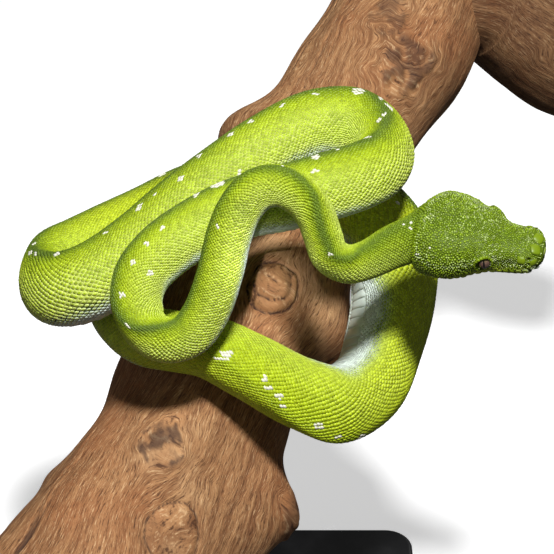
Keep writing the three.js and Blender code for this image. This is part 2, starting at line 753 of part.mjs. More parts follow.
const RESTS_ON_BRANCH = [
  'body_15', 'body_16', 'body_17', 'body_18', 'body_19', 'body_20', 'body_21', 'body_22',
  'body_23', 'body_24', 'tail_1',
];
LENGTHS.forEach((length, i) => {
  const from = (i === 0 ? HEAD_BACK : line.cuts[i]) + JOINT_GAP / 2;
  const to = line.cuts[i + 1] - (i === LENGTHS.length - 1 ? 0 : JOINT_GAP / 2);
  let solid = bodyLength(from, to);
  if (RESTS_ON_BRANCH.includes(length.name)) solid = solid.subtract(trunkGrown);
  addNode(length.name, solid, GREEN);
});

addNode('perch', trunk, BARK);
addNode('perch_limb', limb, BARK);
addNode('stand_base', basePlate(), STEEL);
rods.forEach((rod, i) => addNode('stand_rod_' + (i + 1), rod.solid, STEEL));

export default group;
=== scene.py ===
import math

import bpy
import numpy as np
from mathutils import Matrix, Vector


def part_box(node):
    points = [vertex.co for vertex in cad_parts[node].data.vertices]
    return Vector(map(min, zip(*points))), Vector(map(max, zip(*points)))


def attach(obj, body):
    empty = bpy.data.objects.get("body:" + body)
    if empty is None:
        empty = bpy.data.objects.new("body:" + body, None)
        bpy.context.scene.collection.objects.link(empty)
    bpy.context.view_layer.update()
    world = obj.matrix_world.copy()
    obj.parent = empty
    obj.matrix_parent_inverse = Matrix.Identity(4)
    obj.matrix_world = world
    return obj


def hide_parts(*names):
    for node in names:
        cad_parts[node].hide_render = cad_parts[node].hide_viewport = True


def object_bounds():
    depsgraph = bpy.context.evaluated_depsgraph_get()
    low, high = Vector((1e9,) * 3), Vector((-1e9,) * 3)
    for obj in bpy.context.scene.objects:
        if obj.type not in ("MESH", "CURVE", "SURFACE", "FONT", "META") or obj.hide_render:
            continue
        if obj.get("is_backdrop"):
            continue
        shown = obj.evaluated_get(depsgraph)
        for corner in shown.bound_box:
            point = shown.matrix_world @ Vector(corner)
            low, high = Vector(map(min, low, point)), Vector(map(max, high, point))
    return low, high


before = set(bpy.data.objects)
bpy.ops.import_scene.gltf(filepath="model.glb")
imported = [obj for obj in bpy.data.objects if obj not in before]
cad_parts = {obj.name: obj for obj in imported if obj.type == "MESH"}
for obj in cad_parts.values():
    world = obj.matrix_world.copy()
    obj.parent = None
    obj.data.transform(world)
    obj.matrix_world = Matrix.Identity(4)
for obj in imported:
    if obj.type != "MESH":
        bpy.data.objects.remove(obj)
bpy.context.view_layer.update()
mm = 0.001
print("frame loaded,", len(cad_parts), "nodes")

# The coils lie about a plane that leans back. A place is across it, up it and deep behind it, in mm.
pose = {"centre": (8, 4, 190), "leanDeg": 33}

# The snake's line from its neck to its tail: across, up, deep, body height, then the way the back faces.
stationRows = [
    (52.5, 15.5, -47, 19, -0.15, 0.58, 0.8), (42, 11.5, -50, 17.4, -0.15, 0.6, 0.78),
    (32, 6.5, -53, 15.6, -0.12, 0.5, 0.85), (25, 5, -55.5, 15.6, -0.08, 0.36, 0.92),
    (19, 8, -58, 15.6, 0.1, 0.1, 0.98), (16.3, 14.5, -60.5, 15.6, 0, 0.05, 1),
    (13.5, 21.8, -63, 15.8, 0, 0.05, 0.98), (8.5, 28.5, -65, 16, 0.22, 0.35, 0.9),
    (1, 32.3, -66, 16.2, 0.08, 0.68, 0.72), (-6.5, 30.8, -65.5, 16.4, -0.36, 0.74, 0.55),
    (-12.5, 24.5, -64, 16.5, -0.72, 0.5, 0.45), (-16.5, 15, -62, 16.8, -0.88, 0.25, 0.38),
    (-20, 1, -58, 17, -0.9, 0.2, 0.4), (-25.5, -13, -53.5, 17.4, -0.8, 0.3, 0.5),
    (-31.6, -20.2, -51.5, 17.8, -0.55, 0.5, 0.65), (-40.2, -22, -50.5, 18.6, -0.2, 0.5, 0.83),
    (-47.8, -17.7, -49.5, 19.4, -0.45, 0.3, 0.82), (-50.8, -9, -49, 20.2, -0.72, 0.08, 0.68),
    (-48.5, 0, -48.5, 21, -0.8, 0.32, 0.45), (-41, 8.5, -48, 21.8, -0.7, 0.65, 0.3),
    (-28.5, 17, -46, 22.5, -0.55, 0.8, 0.2), (-13.5, 24, -44, 23.3, -0.3, 0.93, 0.1),
    (3, 28, -41, 24.5, -0.1, 0.99, 0.1), (17.5, 32, -39, 25.4, -0.05, 0.97, 0.2),
    (29, 36.2, -35.5, 25.6, -0.05, 0.93, 0.35), (36.8, 41, -30.5, 25.6, -0.05, 0.83, 0.5),
    (39.8, 47.5, -23.5, 25.8, 0, 0.78, 0.6), (37, 54, -17, 26, 0.1, 0.83, 0.52),
    (29, 58, -13, 26.2, 0.05, 0.92, 0.3), (15, 57, -13.5, 26.4, -0.15, 0.96, 0.15),
    (-2.5, 48, -17, 26.8, -0.38, 0.9, 0), (-20, 35.5, -20, 27.2, -0.5, 0.85, 0),
    (-34.5, 24, -21.5, 27.7, -0.55, 0.83, 0), (-48.5, 11.5, -22.5, 28.4, -0.5, 0.83, 0),
    (-60.5, 2.3, -23, 29, -0.42, 0.9, 0), (-70.3, -3, -22, 29.2, -0.4, 0.9, 0),
    (-78.2, -5, -17, 29.2, -0.42, 0.9, 0.05), (-84.5, -3.6, -8.5, 29.2, -0.45, 0.87, 0.1),
    (-86.5, -1, 0.5, 29.5, -0.45, 0.85, 0.15), (-83.5, 4.5, 8.5, 29.3, -0.45, 0.87, 0.1),
    (-76, 9, 12.5, 28.2, -0.4, 0.9, 0), (-65, 14.5, 13.5, 27.8, -0.4, 0.9, 0),
    (-49, 21.8, 13.5, 27.8, -0.45, 0.87, 0.05), (-31, 30.5, 13.5, 28.4, -0.35, 0.85, 0.35),
    (-12, 36.5, 12.5, 28.4, -0.15, 0.78, 0.6), (6.5, 38, 11.5, 28.7, 0.1, 0.72, 0.68),
    (24.5, 34, 10, 29, 0.4, 0.62, 0.62), (37, 23.5, 8.5, 30.5, 0.75, 0.4, 0.35),
    (43.8, 8.5, 8, 32.6, 0.93, 0.1, -0.1), (45, -8, 8, 31.8, 0.9, 0, -0.4),
    (41.5, -24.5, 4, 31, 0.85, -0.3, -0.4), (35.2, -39.6, -4, 30.8, 0.65, -0.72, -0.2),
    (22.6, -47, -14, 30, 0.25, -0.95, 0.1), (7.5, -43.5, -22, 29, -0.1, -0.65, 0.75),
    (-9.5, -34, -28, 28, -0.1, -0.25, 0.96), (-25.5, -25.8, -29, 26.5, -0.05, 0, 0.99),
    (-39, -23.2, -24.5, 25.6, 0, 0.3, 0.95), (-49.5, -21.5, -14, 25, 0.15, 0.6, 0.8),
    (-58, -16.6, 2, 24.6, 0.4, 0.65, 0.6), (-62.5, -11.5, 18, 24.2, 0.5, 0.8, 0.35),
    (-61, -9, 35, 23.6, 0.35, 0.9, 0.1), (-54.5, -11, 51, 22.6, 0, 0.9, -0.35),
    (-46, -19, 61.5, 21.4, -0.35, 0.5, -0.75), (-41.5, -32, 66, 20, -0.35, 0.1, -0.92),
    (-39, -47, 68, 18, -0.2, 0.1, -0.97), (-38, -62, 72, 15.6, -0.1, 0.1, -0.98),
    (-37, -76, 78, 12.8, -0.05, 0.1, -0.99), (-37.5, -90, 85, 10.6, 0, 0, -1),
    (-42, -103, 91, 9, 0, 0, -1), (-52, -111, 95, 7.8, 0, 0, -1), (-64, -110.5, 95.5, 6.6, 0, 0, -1),
    (-73, -102.5, 92.5, 5.5, 0, 0, -1), (-73.5, -92.5, 88.5, 4.5, 0, 0, -1),
    (-66, -86.5, 85.5, 3.5, 0, 0, -1), (-58.5, -90, 86.5, 2.4, 0, 0, -1),
]
sinLean = math.sin(math.radians(pose["leanDeg"]))
cosLean = math.cos(math.radians(pose["leanDeg"]))


def leaned(rows):
    across, up, deep = np.moveaxis(np.asarray(rows, float), -1, 0)
    return np.stack([across, up * sinLean + deep * cosLean, up * cosLean - deep * sinLean], -1)


def placed(rows):
    return leaned(rows) + np.array(pose["centre"], float)


def facing(row):  # across, up the plane and out of its front
    return unit(leaned((row[0], row[1], -row[2])))


def unit(v):
    return v / np.maximum(np.linalg.norm(v, axis=-1, keepdims=True), 1e-9)


def dot(a, b):
    return (a * b).sum(-1, keepdims=True)


def bump(x, centre, spread):
    return np.exp(-(((x - centre) / spread) ** 2))


def smooth(x, low, high):
    t = np.clip((x - low) / (high - low), 0, 1)
    return t * t * (3 - 2 * t)


def within(x, start, full, fade, end):  # rises to 1 after its start, and falls to 0 at its end
    return smooth(x, start, full) * (1 - smooth(x, fade, end))


def aroundFrom(angle, degrees):  # how far an angle is turned from another, from -pi to pi
    turn = angle - math.radians(degrees)
    return np.arctan2(np.sin(turn), np.cos(turn))


def fromTopOf(angle):  # how far it is turned from the top of the back, either way
    return np.abs(aroundFrom(angle, 0))


def tableAt(pairs, x):  # soft steps between the rows of a table
    xs, ys = np.array(pairs, float).T
    i = np.clip(np.searchsorted(xs, x, side="left") - 1, 0, len(xs) - 2)
    t = np.clip((x - xs[i]) / (xs[i + 1] - xs[i]), 0, 1)
    return ys[i] + (ys[i + 1] - ys[i]) * (0.5 * t + 0.5 * t * t * (3 - 2 * t))


def splineThrough(rows, perSpan):  # centripetal Catmull-Rom, the first three columns are the place
    steps = np.linalg.norm(np.diff(rows[:, :3], axis=0), axis=1)
    knots = np.concatenate([[0], np.cumsum(np.sqrt(steps))])
    rows = np.vstack([2 * rows[0] - rows[1], rows, 2 * rows[-1] - rows[-2]])
    knots = np.concatenate([[2 * knots[0] - knots[1]], knots, [2 * knots[-1] - knots[-2]]])

    def mix(a, b, ta, tb):
        return a + (t - ta) / (tb - ta) * (b - a)

    made = []
    for i in range(1, len(rows) - 2):
        t = np.linspace(knots[i], knots[i + 1], perSpan, endpoint=False)[:, None]
        p, k = rows[i - 1 : i + 3], knots[i - 1 : i + 3]
        first = [mix(p[j], p[j + 1], k[j], k[j + 1]) for j in range(3)]
        second = [mix(first[j], first[j + 1], k[j], k[j + 2]) for j in range(2)]
        made.append(mix(second[0], second[1], k[1], k[2]))
    made.append(rows[-2][None])
    return np.vstack(made)


def runOf(table):  # mm along a line of places
    steps = np.linalg.norm(np.diff(table[:, :3], axis=0), axis=1)
    return np.concatenate([[0], np.cumsum(steps)])


perSpan = 20  # points from one station to the next
stations = np.array(stationRows, float)
stations[:, 4:7] = unit(leaned(stations[:, 4:7] * (1, 1, -1)))
stations[:, :3] = placed(stations[:, :3])
bodyTable = splineThrough(stations, perSpan)
bodyRun = runOf(bodyTable)
bodyLength = bodyRun[-1]


# Value noise over space, from one seeded block of numbers that repeats.
blockSide = 32
noiseBlock = np.random.default_rng(7).random((blockSide,) * 3)


def noise(points, scale=1.0):
    p = np.asarray(points, float) / scale
    cell = np.floor(p).astype(int)
    f = p - cell
    f = f * f * (3 - 2 * f)
    total = 0
    for corner in range(8):
        d = np.array([corner & 1, corner >> 1 & 1, corner >> 2 & 1])
        at = (cell + d) % blockSide
        w = np.prod(np.where(d == 1, f, 1 - f), axis=-1)
        total = total + w * noiseBlock[at[..., 0], at[..., 1], at[..., 2]]
    return total


def roughNoise(points, scale, octaves=3):
    return sum(noise(points + 5.3 * k, scale / 2**k) / 2 ** (k + 1) for k in range(octaves))


branch = {
    "start": -166,
    "end": 168,
    "direction": (0.433, 0.828, 0.357),
    "right": (0.889, -0.457, 0),
    "middle": (-4.5, 0, 38),
    "taper": [(-166, 49), (-140, 43), (-110, 38), (-70, 36), (0, 35), (80, 33), (168, 33)],
    "swellings": [  # along, around in degrees, rise, length, spread
        (-84, 0, 18, 14, 0.5), (-106, 0, 9, 14, 0.7), (-13, 0, 9.2, 14, 0.7), (44, 0, -7, 32, 0.8),
        (118, 0, 5, 24, 0.7), (51, 180, 14, 16, 0.7), (118, 180, -2.5, 22, 0.8), (33, 95, -8, 24, 1.0),
        (-83, 180, -2.8, 15, 0.8), (-113, 178, 2.5, 7, 0.35), (-16, 83, 4, 9, 0.26),
        (-120, 120, 3, 14, 0.5), (100, 120, 2.5, 14, 0.5), (-57, -5, 2.8, 11, 0.6),
    ],
    "knots": [  # along, around, radius, depth of the groove round it, lumps, how dark, how far out
        (-16, 83, 9, 1.1, 0.7, 0.12, 3.0), (-119, 69, 9.5, 0.45, 0.1, 0.1, 0),
        (98, 72, 12, 0.2, 1.5, 0.6, 0), (113, 100, 9, 0.2, 1.4, 0.5, 0), (-92, 99, 8, 0, 1.3, 0.7, 0),
        (-84, 4, 9, 0, 1.2, 0.5, 0), (20, 250, 10, 0.8, 0.8, 0.5, 0), (-70, 215, 8, 0.6, 0.6, 0.4, 0),
        (120, 300, 9, 0.3, 1.1, 0.7, 0),
    ],
}
limb = {
    "line": [  # across, up, deep, radius
        (60, 123, 84, 19), (78, 122, 88, 23), (94, 118, 96, 26), (110, 108, 101, 26.8),
        (126, 97, 106, 26.2), (144, 90, 110, 24),
    ],
    "knots": [  # as on the branch
        (40, 200, 9, 0.3, 1.0, 0.8, 0), (72, 60, 7, 0.2, 0.9, 0.5, 0), (66, 300, 6, 0.2, 0.8, 0.5, 0),
    ],
}

branchAxis = facing((branch["direction"][0], branch["direction"][1], -branch["direction"][2]))
branchRight = leaned(branch["right"])
branchRight = unit(branchRight - dot(branchRight, branchAxis) * branchAxis)
branchFront = np.cross(branchRight, branchAxis)
branchMiddle = placed(branch["middle"])


def branchRadius(along, angle):
    radius = tableAt(branch["taper"], along)
    radius = radius + 0.8 * np.sin(3 * angle + 0.045 * along) + 0.6 * np.sin(5 * angle - 0.08 * along)
    for at, around, rise, length, spread in branch["swellings"]:
        radius = radius + rise * bump(along, at, length) * bump(aroundFrom(angle, around), 0, spread)
    return radius


def clearOfBranch(points, gap):  # points inside the wood move out to its face, with how far each moved
    offset = points - branchMiddle
    along = offset @ branchAxis
    radial = offset - along[..., None] * branchAxis
    angle = np.arctan2(radial @ branchFront, radial @ branchRight)
    reach = np.linalg.norm(radial, axis=-1)
    inside = (along > branch["start"] - gap) & (along < branch["end"] + gap)
    push = np.where(inside, np.maximum(branchRadius(along, angle) + gap - reach, 0), 0)
    return points + unit(radial) * push[..., None], push


body = {
    "widthToHeight": 0.88,
    "ridgeRise": 0.03,
    "tipRound": 2.2,
    "half": 1.5,  # half of the length that a direction of the body is taken over
    "inset": 0.16,  # the skin lies this far inside the solid, and the scales fill the rest
    "woodGap": 0.25,
    "fuller": (626, 24, 0.085),  # where along it, over what length and by how much it is fuller
}


def bodyFrame(s):
    def at(where):
        return np.stack([np.interp(where, bodyRun, bodyTable[:, k]) for k in range(7)], -1)

    row = at(s)
    ahead, behind = np.minimum(s + body["half"], bodyLength), np.maximum(s - body["half"], 0)
    run = unit(at(ahead)[..., :3] - at(behind)[..., :3])
    back = unit(row[..., 4:7] - dot(row[..., 4:7], run) * run)
    return row[..., :3], run, back, np.cross(run, back), row[..., 3]


def bodySection(angle, height):
    c, s = np.cos(angle), np.sin(angle)
    fromTop = np.abs(np.arctan2(s, c))
    up = 0.5 * height * c + body["ridgeRise"] * height * np.exp(-((fromTop / 0.3) ** 2))
    up = np.where(c < 0, up * (1 - 0.1 * c**4), up)
    across = 0.5 * height * body["widthToHeight"] * s * (1 - 0.16 * c - 0.05 * c * c)
    return across, up


def bodySurface(s, angle, grow=0.0):
    place, _, back, side, height = bodyFrame(s)
    tip = np.clip((s - (bodyLength - body["tipRound"])) / body["tipRound"], 0, 1)
    height = height * np.sqrt(np.maximum(1 - tip * tip, 0.0004))
    at, over, more = body["fuller"]
    height = height * (1 + more * bump(s, at, over))
    across, up = bodySection(angle, height)
    k = 1 + grow / np.maximum(np.hypot(across, up), 0.4)
    return place + side * (across * k)[..., None] + back * (up * k)[..., None]


head = {
    "forward": (0.945, -0.147, 0.29),
    "right": (-0.287, -0.798, 0.53),
    "neckFrom": (-7, 2.5),  # where the neck starts to turn into the head: on top, and more on the left
    "neckTo": (5, 3.5),
    "length": 44.1,
    "halfWidth": [
        (-10, 13), (-3, 13.5), (0, 14.6), (5, 16.6), (8.5, 17.1), (12.5, 16.8), (17, 15.5), (22, 12.6),
        (27, 10.5), (31, 9.3), (36, 9.1), (40, 8.5), (43, 5.8), (44.9, 2.5),
    ],
    "crown": [
        (-10, 9.6), (0, 11.2), (6, 11.6), (12.5, 10.8), (19, 10), (25, 8.8), (30, 7), (36, 5.8), (40, 5),
        (43, 3.6), (44.9, 2),
    ],
    "throat": [
        (-10, -9.6), (0, -10.2), (6, -10), (13, -9.4), (21, -8.3), (30, -7), (38, -6.3), (42.4, -5.2),
        (44.9, -3),
    ],
    "lift": [(-10, 0), (0, 1), (6, 1.3), (14, 1.2), (25, 1.1), (31, -0.2), (38, 0), (46, 0)],
    "mouth": [(10, -4.8), (20, -3.9), (31, -3.4), (44.9, -1.6)],
    "swellings": [  # rise, then where and over what length, and the same for the angle from the top
        (0.6, 25.2, 4.5, 0.95, 0.3), (0.8, 41.3, 3, 0.75, 0.4), (-0.7, 11, 8, 0, 0.3),
        (-0.6, 34, 4, 1.25, 0.3),
    ],
    "mouthCorner": 12,
    "mouthDepth": 0.75,
    "lipSwell": 0.35,
    "eye": (25.2, 10.1, 2.9),
    "eyeRadius": 2.45,
    "dents": {  # places along, height, width, depth
        "nostril": ((40.2,), 3.2, 0.7, 1.3),
        "upperPits": ((43.7, 41.8, 39), 0.4, 0.5, 0.7),
        "lowerPits": ((21, 24.2, 27.4, 30.6), -5.6, 0.55, 0.7),
    },
}

headForward = facing(head["forward"])
headRight = facing(head["right"])
headRight = unit(headRight - dot(headRight, headForward) * headForward)
headLeft = -headRight
headUp = np.cross(headForward, headLeft)
headWays = np.stack([headForward, headLeft, headUp])
neckPlace, neckRun, *_ = bodyFrame(np.array(0.0))


def headPlace(x, y, z):
    return neckPlace + np.stack([x, y, z], -1) @ headWays


def headSection(x, angle):
    c, s = np.cos(angle), np.sin(angle)
    power = 2.35
    r = (np.abs(s) ** power + np.abs(c) ** power) ** (-1 / power)
    reach = np.where(c > 0, tableAt(head["crown"], x), -tableAt(head["throat"], x))
    narrowing = np.where(c < 0, 1 - 0.12 * c * c, 1 - 0.14 * c * c * bump(x, 38, 14))
    return tableAt(head["halfWidth"], x) * s * r * narrowing, reach * c * r + tableAt(head["lift"], x)


def headAngleAt(x, z):  # the angle from the crown at which the section passes a height
    low, high = np.full(np.shape(x), 0.2), np.full(np.shape(x), math.pi - 0.2)
    for _ in range(26):
        mid = (low + high) / 2
        above = headSection(x, mid)[1] > z
        low, high = np.where(above, mid, low), np.where(above, high, mid)
    return (low + high) / 2


mouthRows = np.linspace(0, head["length"], 120)
mouthAngles = headAngleAt(mouthRows, tableAt(head["mouth"], mouthRows))


def fromMouth(x, angle):  # mm down the side of the head from the line of the mouth
    return (fromTopOf(angle) - np.interp(x, mouthRows, mouthAngles)) * tableAt(head["halfWidth"], x)


headDents = [  # place along, angle from the crown, width, depth, with the nostril first
    (x, float(headAngleAt(np.array(x), z)), wide, deep)
    for places, z, wide, deep in head["dents"].values()
    for x in places
]


def fromDent(x, fromTop, dent):  # mm from the middle of a dent
    return np.hypot(x - dent[0], (fromTop - dent[1]) * tableAt(head["halfWidth"], x))


def headGrow(x, angle, up):  # how far the skin of the head stands off its plain section
    fromTop = fromTopOf(angle)
    grow = 0
    for rise, at, length, around, spread in head["swellings"]:
        grow = grow + rise * bump(x, at, length) * bump(fromTop, around, spread)
    lip = fromMouth(x, angle)
    isOpen = smooth(x, head["mouthCorner"] - 2.5, head["mouthCorner"] + 1.5)
    grow += isOpen * head["lipSwell"] * bump(np.abs(lip), 1.25, 0.9)
    grow -= isOpen * head["mouthDepth"] * bump(lip, 0, 0.3)
    for dent in headDents:
        d = fromDent(x, fromTop, dent)
        wide, deep = dent[2:]
        grow += 0.35 * deep * bump(d, 1.6 * wide, 0.6 * wide) - deep * bump(d, 0, wide)
    fromEye = np.hypot(x - head["eye"][0], up - head["eye"][2] - 0.2)
    lid = 0.55 * bump(fromEye, head["eyeRadius"] + 0.25, 0.55)
    lid += 0.8 * bump(x, head["eye"][0], 3.2) * bump(up, head["eye"][2] + 2.5, 0.9)
    return grow + np.where(fromTop < 1.9, lid, 0)


def headSurface(x, angle, grow=0.0):
    across, up = headSection(x, angle)
    k = 1 + (headGrow(x, angle, up) + grow) / np.maximum(np.hypot(across, up), 0.4)
    return headPlace(x, across * k, up * k)


def skinSurface(s, angle, grow=0.0):  # s runs from the snout, below 0 on the head, to the tail's tip
    s, angle = np.broadcast_arrays(np.asarray(s, float), np.asarray(angle, float))
    onBody = bodySurface(np.clip(s, 0, bodyLength), angle, grow)
    onBody = onBody - neckRun * np.maximum(-s, 0)[..., None]
    x = np.clip(-s, -10, head["length"])
    onHead = headSurface(x, angle, grow)
    starts, ends = (a + b * np.sin(angle) for a, b in (head["neckFrom"], head["neckTo"]))
    w = smooth(x, starts, ends)[..., None]
    return onBody * (1 - w) + onHead * w


probe = {"along": 0.2, "turn": 0.02}  # how far apart places are taken to find a direction on the skin


def skinRoots(s, angle, grow=0.0):  # place, way to the tail, side and normal on the skin
    along, turn = probe["along"], probe["turn"]
    ahead, behind = skinSurface(s + along, angle, grow), skinSurface(s - along, angle, grow)
    left, right = skinSurface(s, angle + turn, grow), skinSurface(s, angle - turn, grow)
    tailward = unit(ahead - behind)
    normal = unit(np.cross(left - right, tailward))
    return skinSurface(s, angle, grow), tailward, np.cross(normal, tailward), normal


def stretchAt(s, angle):  # how long 1 mm of the snake's line is on this side of a bend
    return np.linalg.norm(skinSurface(s + 0.5, angle) - skinSurface(s - 0.5, angle), axis=-1)


def makePiece(name, points, faces, nodes=(), material=None):
    mesh = bpy.data.meshes.new(name)
    mesh.from_pydata((np.asarray(points) * mm).tolist(), [], faces)
    mesh.update()
    return wearMesh(name, mesh, nodes, material)


def wearMesh(name, mesh, nodes=(), material=None):
    mesh.shade_smooth()
    if material is not None:
        mesh.materials.clear()
        mesh.materials.append(material)
    piece = bpy.data.objects.new(name, mesh)
    bpy.context.scene.collection.objects.link(piece)
    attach(piece, "root")
    if nodes:
        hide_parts(*nodes)
    print(name, int((cornerCounts(mesh) - 2).sum()), "triangles")
    return piece


def cornerCounts(mesh):  # of each face
    counts = np.zeros(len(mesh.polygons), int)
    mesh.polygons.foreach_get("loop_total", counts)
    return counts


def store(mesh, **layers):  # one, three or four numbers for each point
    kinds = {1: ("FLOAT", "value"), 3: ("FLOAT_VECTOR", "vector"), 4: ("FLOAT_COLOR", "color")}
    for name, values in layers.items():
        values = np.asarray(values, np.float32)
        kind, field = kinds[values.shape[-1] if values.ndim > 1 else 1]
        mesh.attributes.new(name, kind, "POINT").data.foreach_set(field, values.ravel())


def sheetFaces(rows, columns, closed=True, start=0):  # quads of a grid of points, row by row
    around = columns if closed else columns - 1
    r, c = np.meshgrid(np.arange(rows - 1), np.arange(around), indexing="ij")
    n = (c + 1) % columns
    quads = np.stack([r * columns + c, (r + 1) * columns + c, (r + 1) * columns + n, r * columns + n], -1)
    return (quads.reshape(-1, 4) + start).tolist()


def solidPiece(name, points, rows, columns, node, material):  # a point, rows round it and a point
    base, tip = 1 + (rows - 1) * columns, len(points) - 1
    faces = sheetFaces(rows, columns, start=1)
    faces += [(0, 1 + c, 1 + (c + 1) % columns) for c in range(columns)]
    faces += [(base + (c + 1) % columns, base + c, tip) for c in range(columns)]
    quads = np.array([f if len(f) == 4 else (*f, f[-1]) for f in faces])
    a, b, c, d = (points[quads[:, k]] for k in range(4))
    volume = (np.cross(b - a, c - a) * a).sum() + (np.cross(c - a, d - a) * a).sum()
    faces = faces if volume > 0 else [tuple(reversed(f)) for f in faces]
    return makePiece(name, points, faces, [node], material)


# White scales: mm along the body, degrees from the top of the back, and how far the patch reaches.
whiteMarks = [
    (362, -18, 1.2), (348, -22, 1.4), (340, -22, 1.2), (328, -24, 1.5), (317, -24, 1.4),
    (304, -12, 2.6), (297, 8, 1.6), (293, 15, 2.2), (289, -7, 1.2), (287, -20, 1.4),
    (273, -9, 1.5), (259, 6, 1.2), (250, 12, 1.6), (248, 46, 1.4), (71, 18, 1.1), (73, -2, 0.9),
    (355, -95, 1.3), (216, 10, 1.7), (214, 8, 2.2), (207, 9, 1.5), (373, -40, 1.6), (383, -29, 1.1),
    (390, -27, 1.6), (407, -25, 1.3), (432, -11, 1.4), (445, -9, 1.3), (449, -9, 1.6), (458, 8, 1.4),
    (191, 38, 1.2), (185, 42, 1.3), (178, 42, 1.2), (168, 31, 1.6), (159, 0, 1.2), (178, 80, 1.3),
    (96, -34, 1.0), (41, -11, 1.0), (8, -7, 0.55), (6, -22, 0.5), (5, -7, 0.5), (1, -2, 0.55),
    (736, -4, 1.5), (734, 15, 2.7), (720, 26, 1.5), (717, 18, 1.7), (713, 20, 1.6), (710, 12, 1.2),
    (696, 24, 2.0), (695, 22, 1.3), (688, 18, 1.2), (681, 12, 1.8), (-2, -61, 0.7),
    (-6.7, -45, 0.7),
]
markDraw = np.random.default_rng(21)
for low, high, count in ((500, 640, 12), (760, 990, 20)):  # lengths that lie behind the wood
    for at in markDraw.uniform(low, high, count):
        whiteMarks.append((at, markDraw.normal(0, 16), markDraw.uniform(1.1, 2.3)))
markRows = np.array(whiteMarks, float)
markPlaces = skinSurface(markRows[:, 0], np.radians(markRows[:, 1]))


pattern = {  # mm along the body where each look starts, is full, fades and ends
    "plainBack": (660, 700, 770, 810),
    "yellow": (455, 500, 640, 700),
    "yellowEnd": (690, 40),  # middle and spread
    "darkSides": (440, 500, 800, 850),
}


def markings(s, angle, points):  # ridge, pale, white and chance, then yellow, olive, dark and side
    fromTop = fromTopOf(angle)
    patchy = roughNoise(points, 9)
    ridge = bump(fromTop, 0, 0.26) * (0.5 + 0.8 * patchy) + 0.34 * bump(fromTop, 0.3, 0.45)
    ridge = ridge * (1 - 0.75 * within(s, *pattern["plainBack"]))
    pale = smooth(fromTop + 0.35 * (roughNoise(points + 40, 6) - 0.5), 1.6, 2.6)
    onNeck = smooth(fromTop + 0.2 * (patchy - 0.5), 2.2 - 0.3 * smooth(s, 0, 30), 2.8)
    pale = np.where(s < 30, onNeck, pale)
    white = np.zeros(np.shape(s))
    for (at, _, reach), place in zip(markRows, markPlaces):
        near = np.abs(s - at) < 8
        if near.any():
            d = np.linalg.norm(points[near] - place, axis=-1)
            white[near] = np.maximum(white[near], d < 0.82 * reach + 0.9 * (noise(points[near], 1.3) - 0.5))
    yellow = within(s, *pattern["yellow"]) + 0.35 * bump(s, *pattern["yellowEnd"])
    olive = 1 - 0.75 * smooth(s, -12, 45) - 0.25 * smooth(s, 45, 130)
    chance = noise(points * 7.1 + 3)
    tone = np.stack([np.clip(ridge, 0, 1), pale, white, chance], -1)
    side = smooth(fromTop, 0.5, 1.5) * (1 - 0.7 * within(s, *pattern["darkSides"]))
    cast = np.stack([yellow, olive, np.zeros_like(pale), side], -1)
    return tone, cast


# One skin from the snout to the tip of the tail.
skin = {
    "headColumns": 192,
    "bodyColumns": 96,
    "headStep": 0.33,
    "neckStep": 0.5,
    "neckTo": 13,  # mm behind the head where the columns halve
    "bodyStep": 1.8,
    "noseRound": 0.6,
    "noseRings": 8,
    "unwrapStrips": 5,
    "headShare": 5.0,  # the head has this much more room on the unwrap
}


def headAngleRow(x):  # angles once round the head, closest together along the mouth
    fine = np.linspace(0, math.pi, 500)
    mouth = np.interp(x, mouthRows, mouthAngles)
    density = 1 + 2.4 * smooth(x, 5, 15) * np.exp(-(((fine - mouth) / 0.17) ** 2))
    total = np.concatenate([[0], np.cumsum((density[1:] + density[:-1]) / 2)])
    half = np.interp(np.linspace(0, total[-1], skin["headColumns"] // 2 + 1), total, fine)
    return np.concatenate([half, -half[-2:0:-1]])


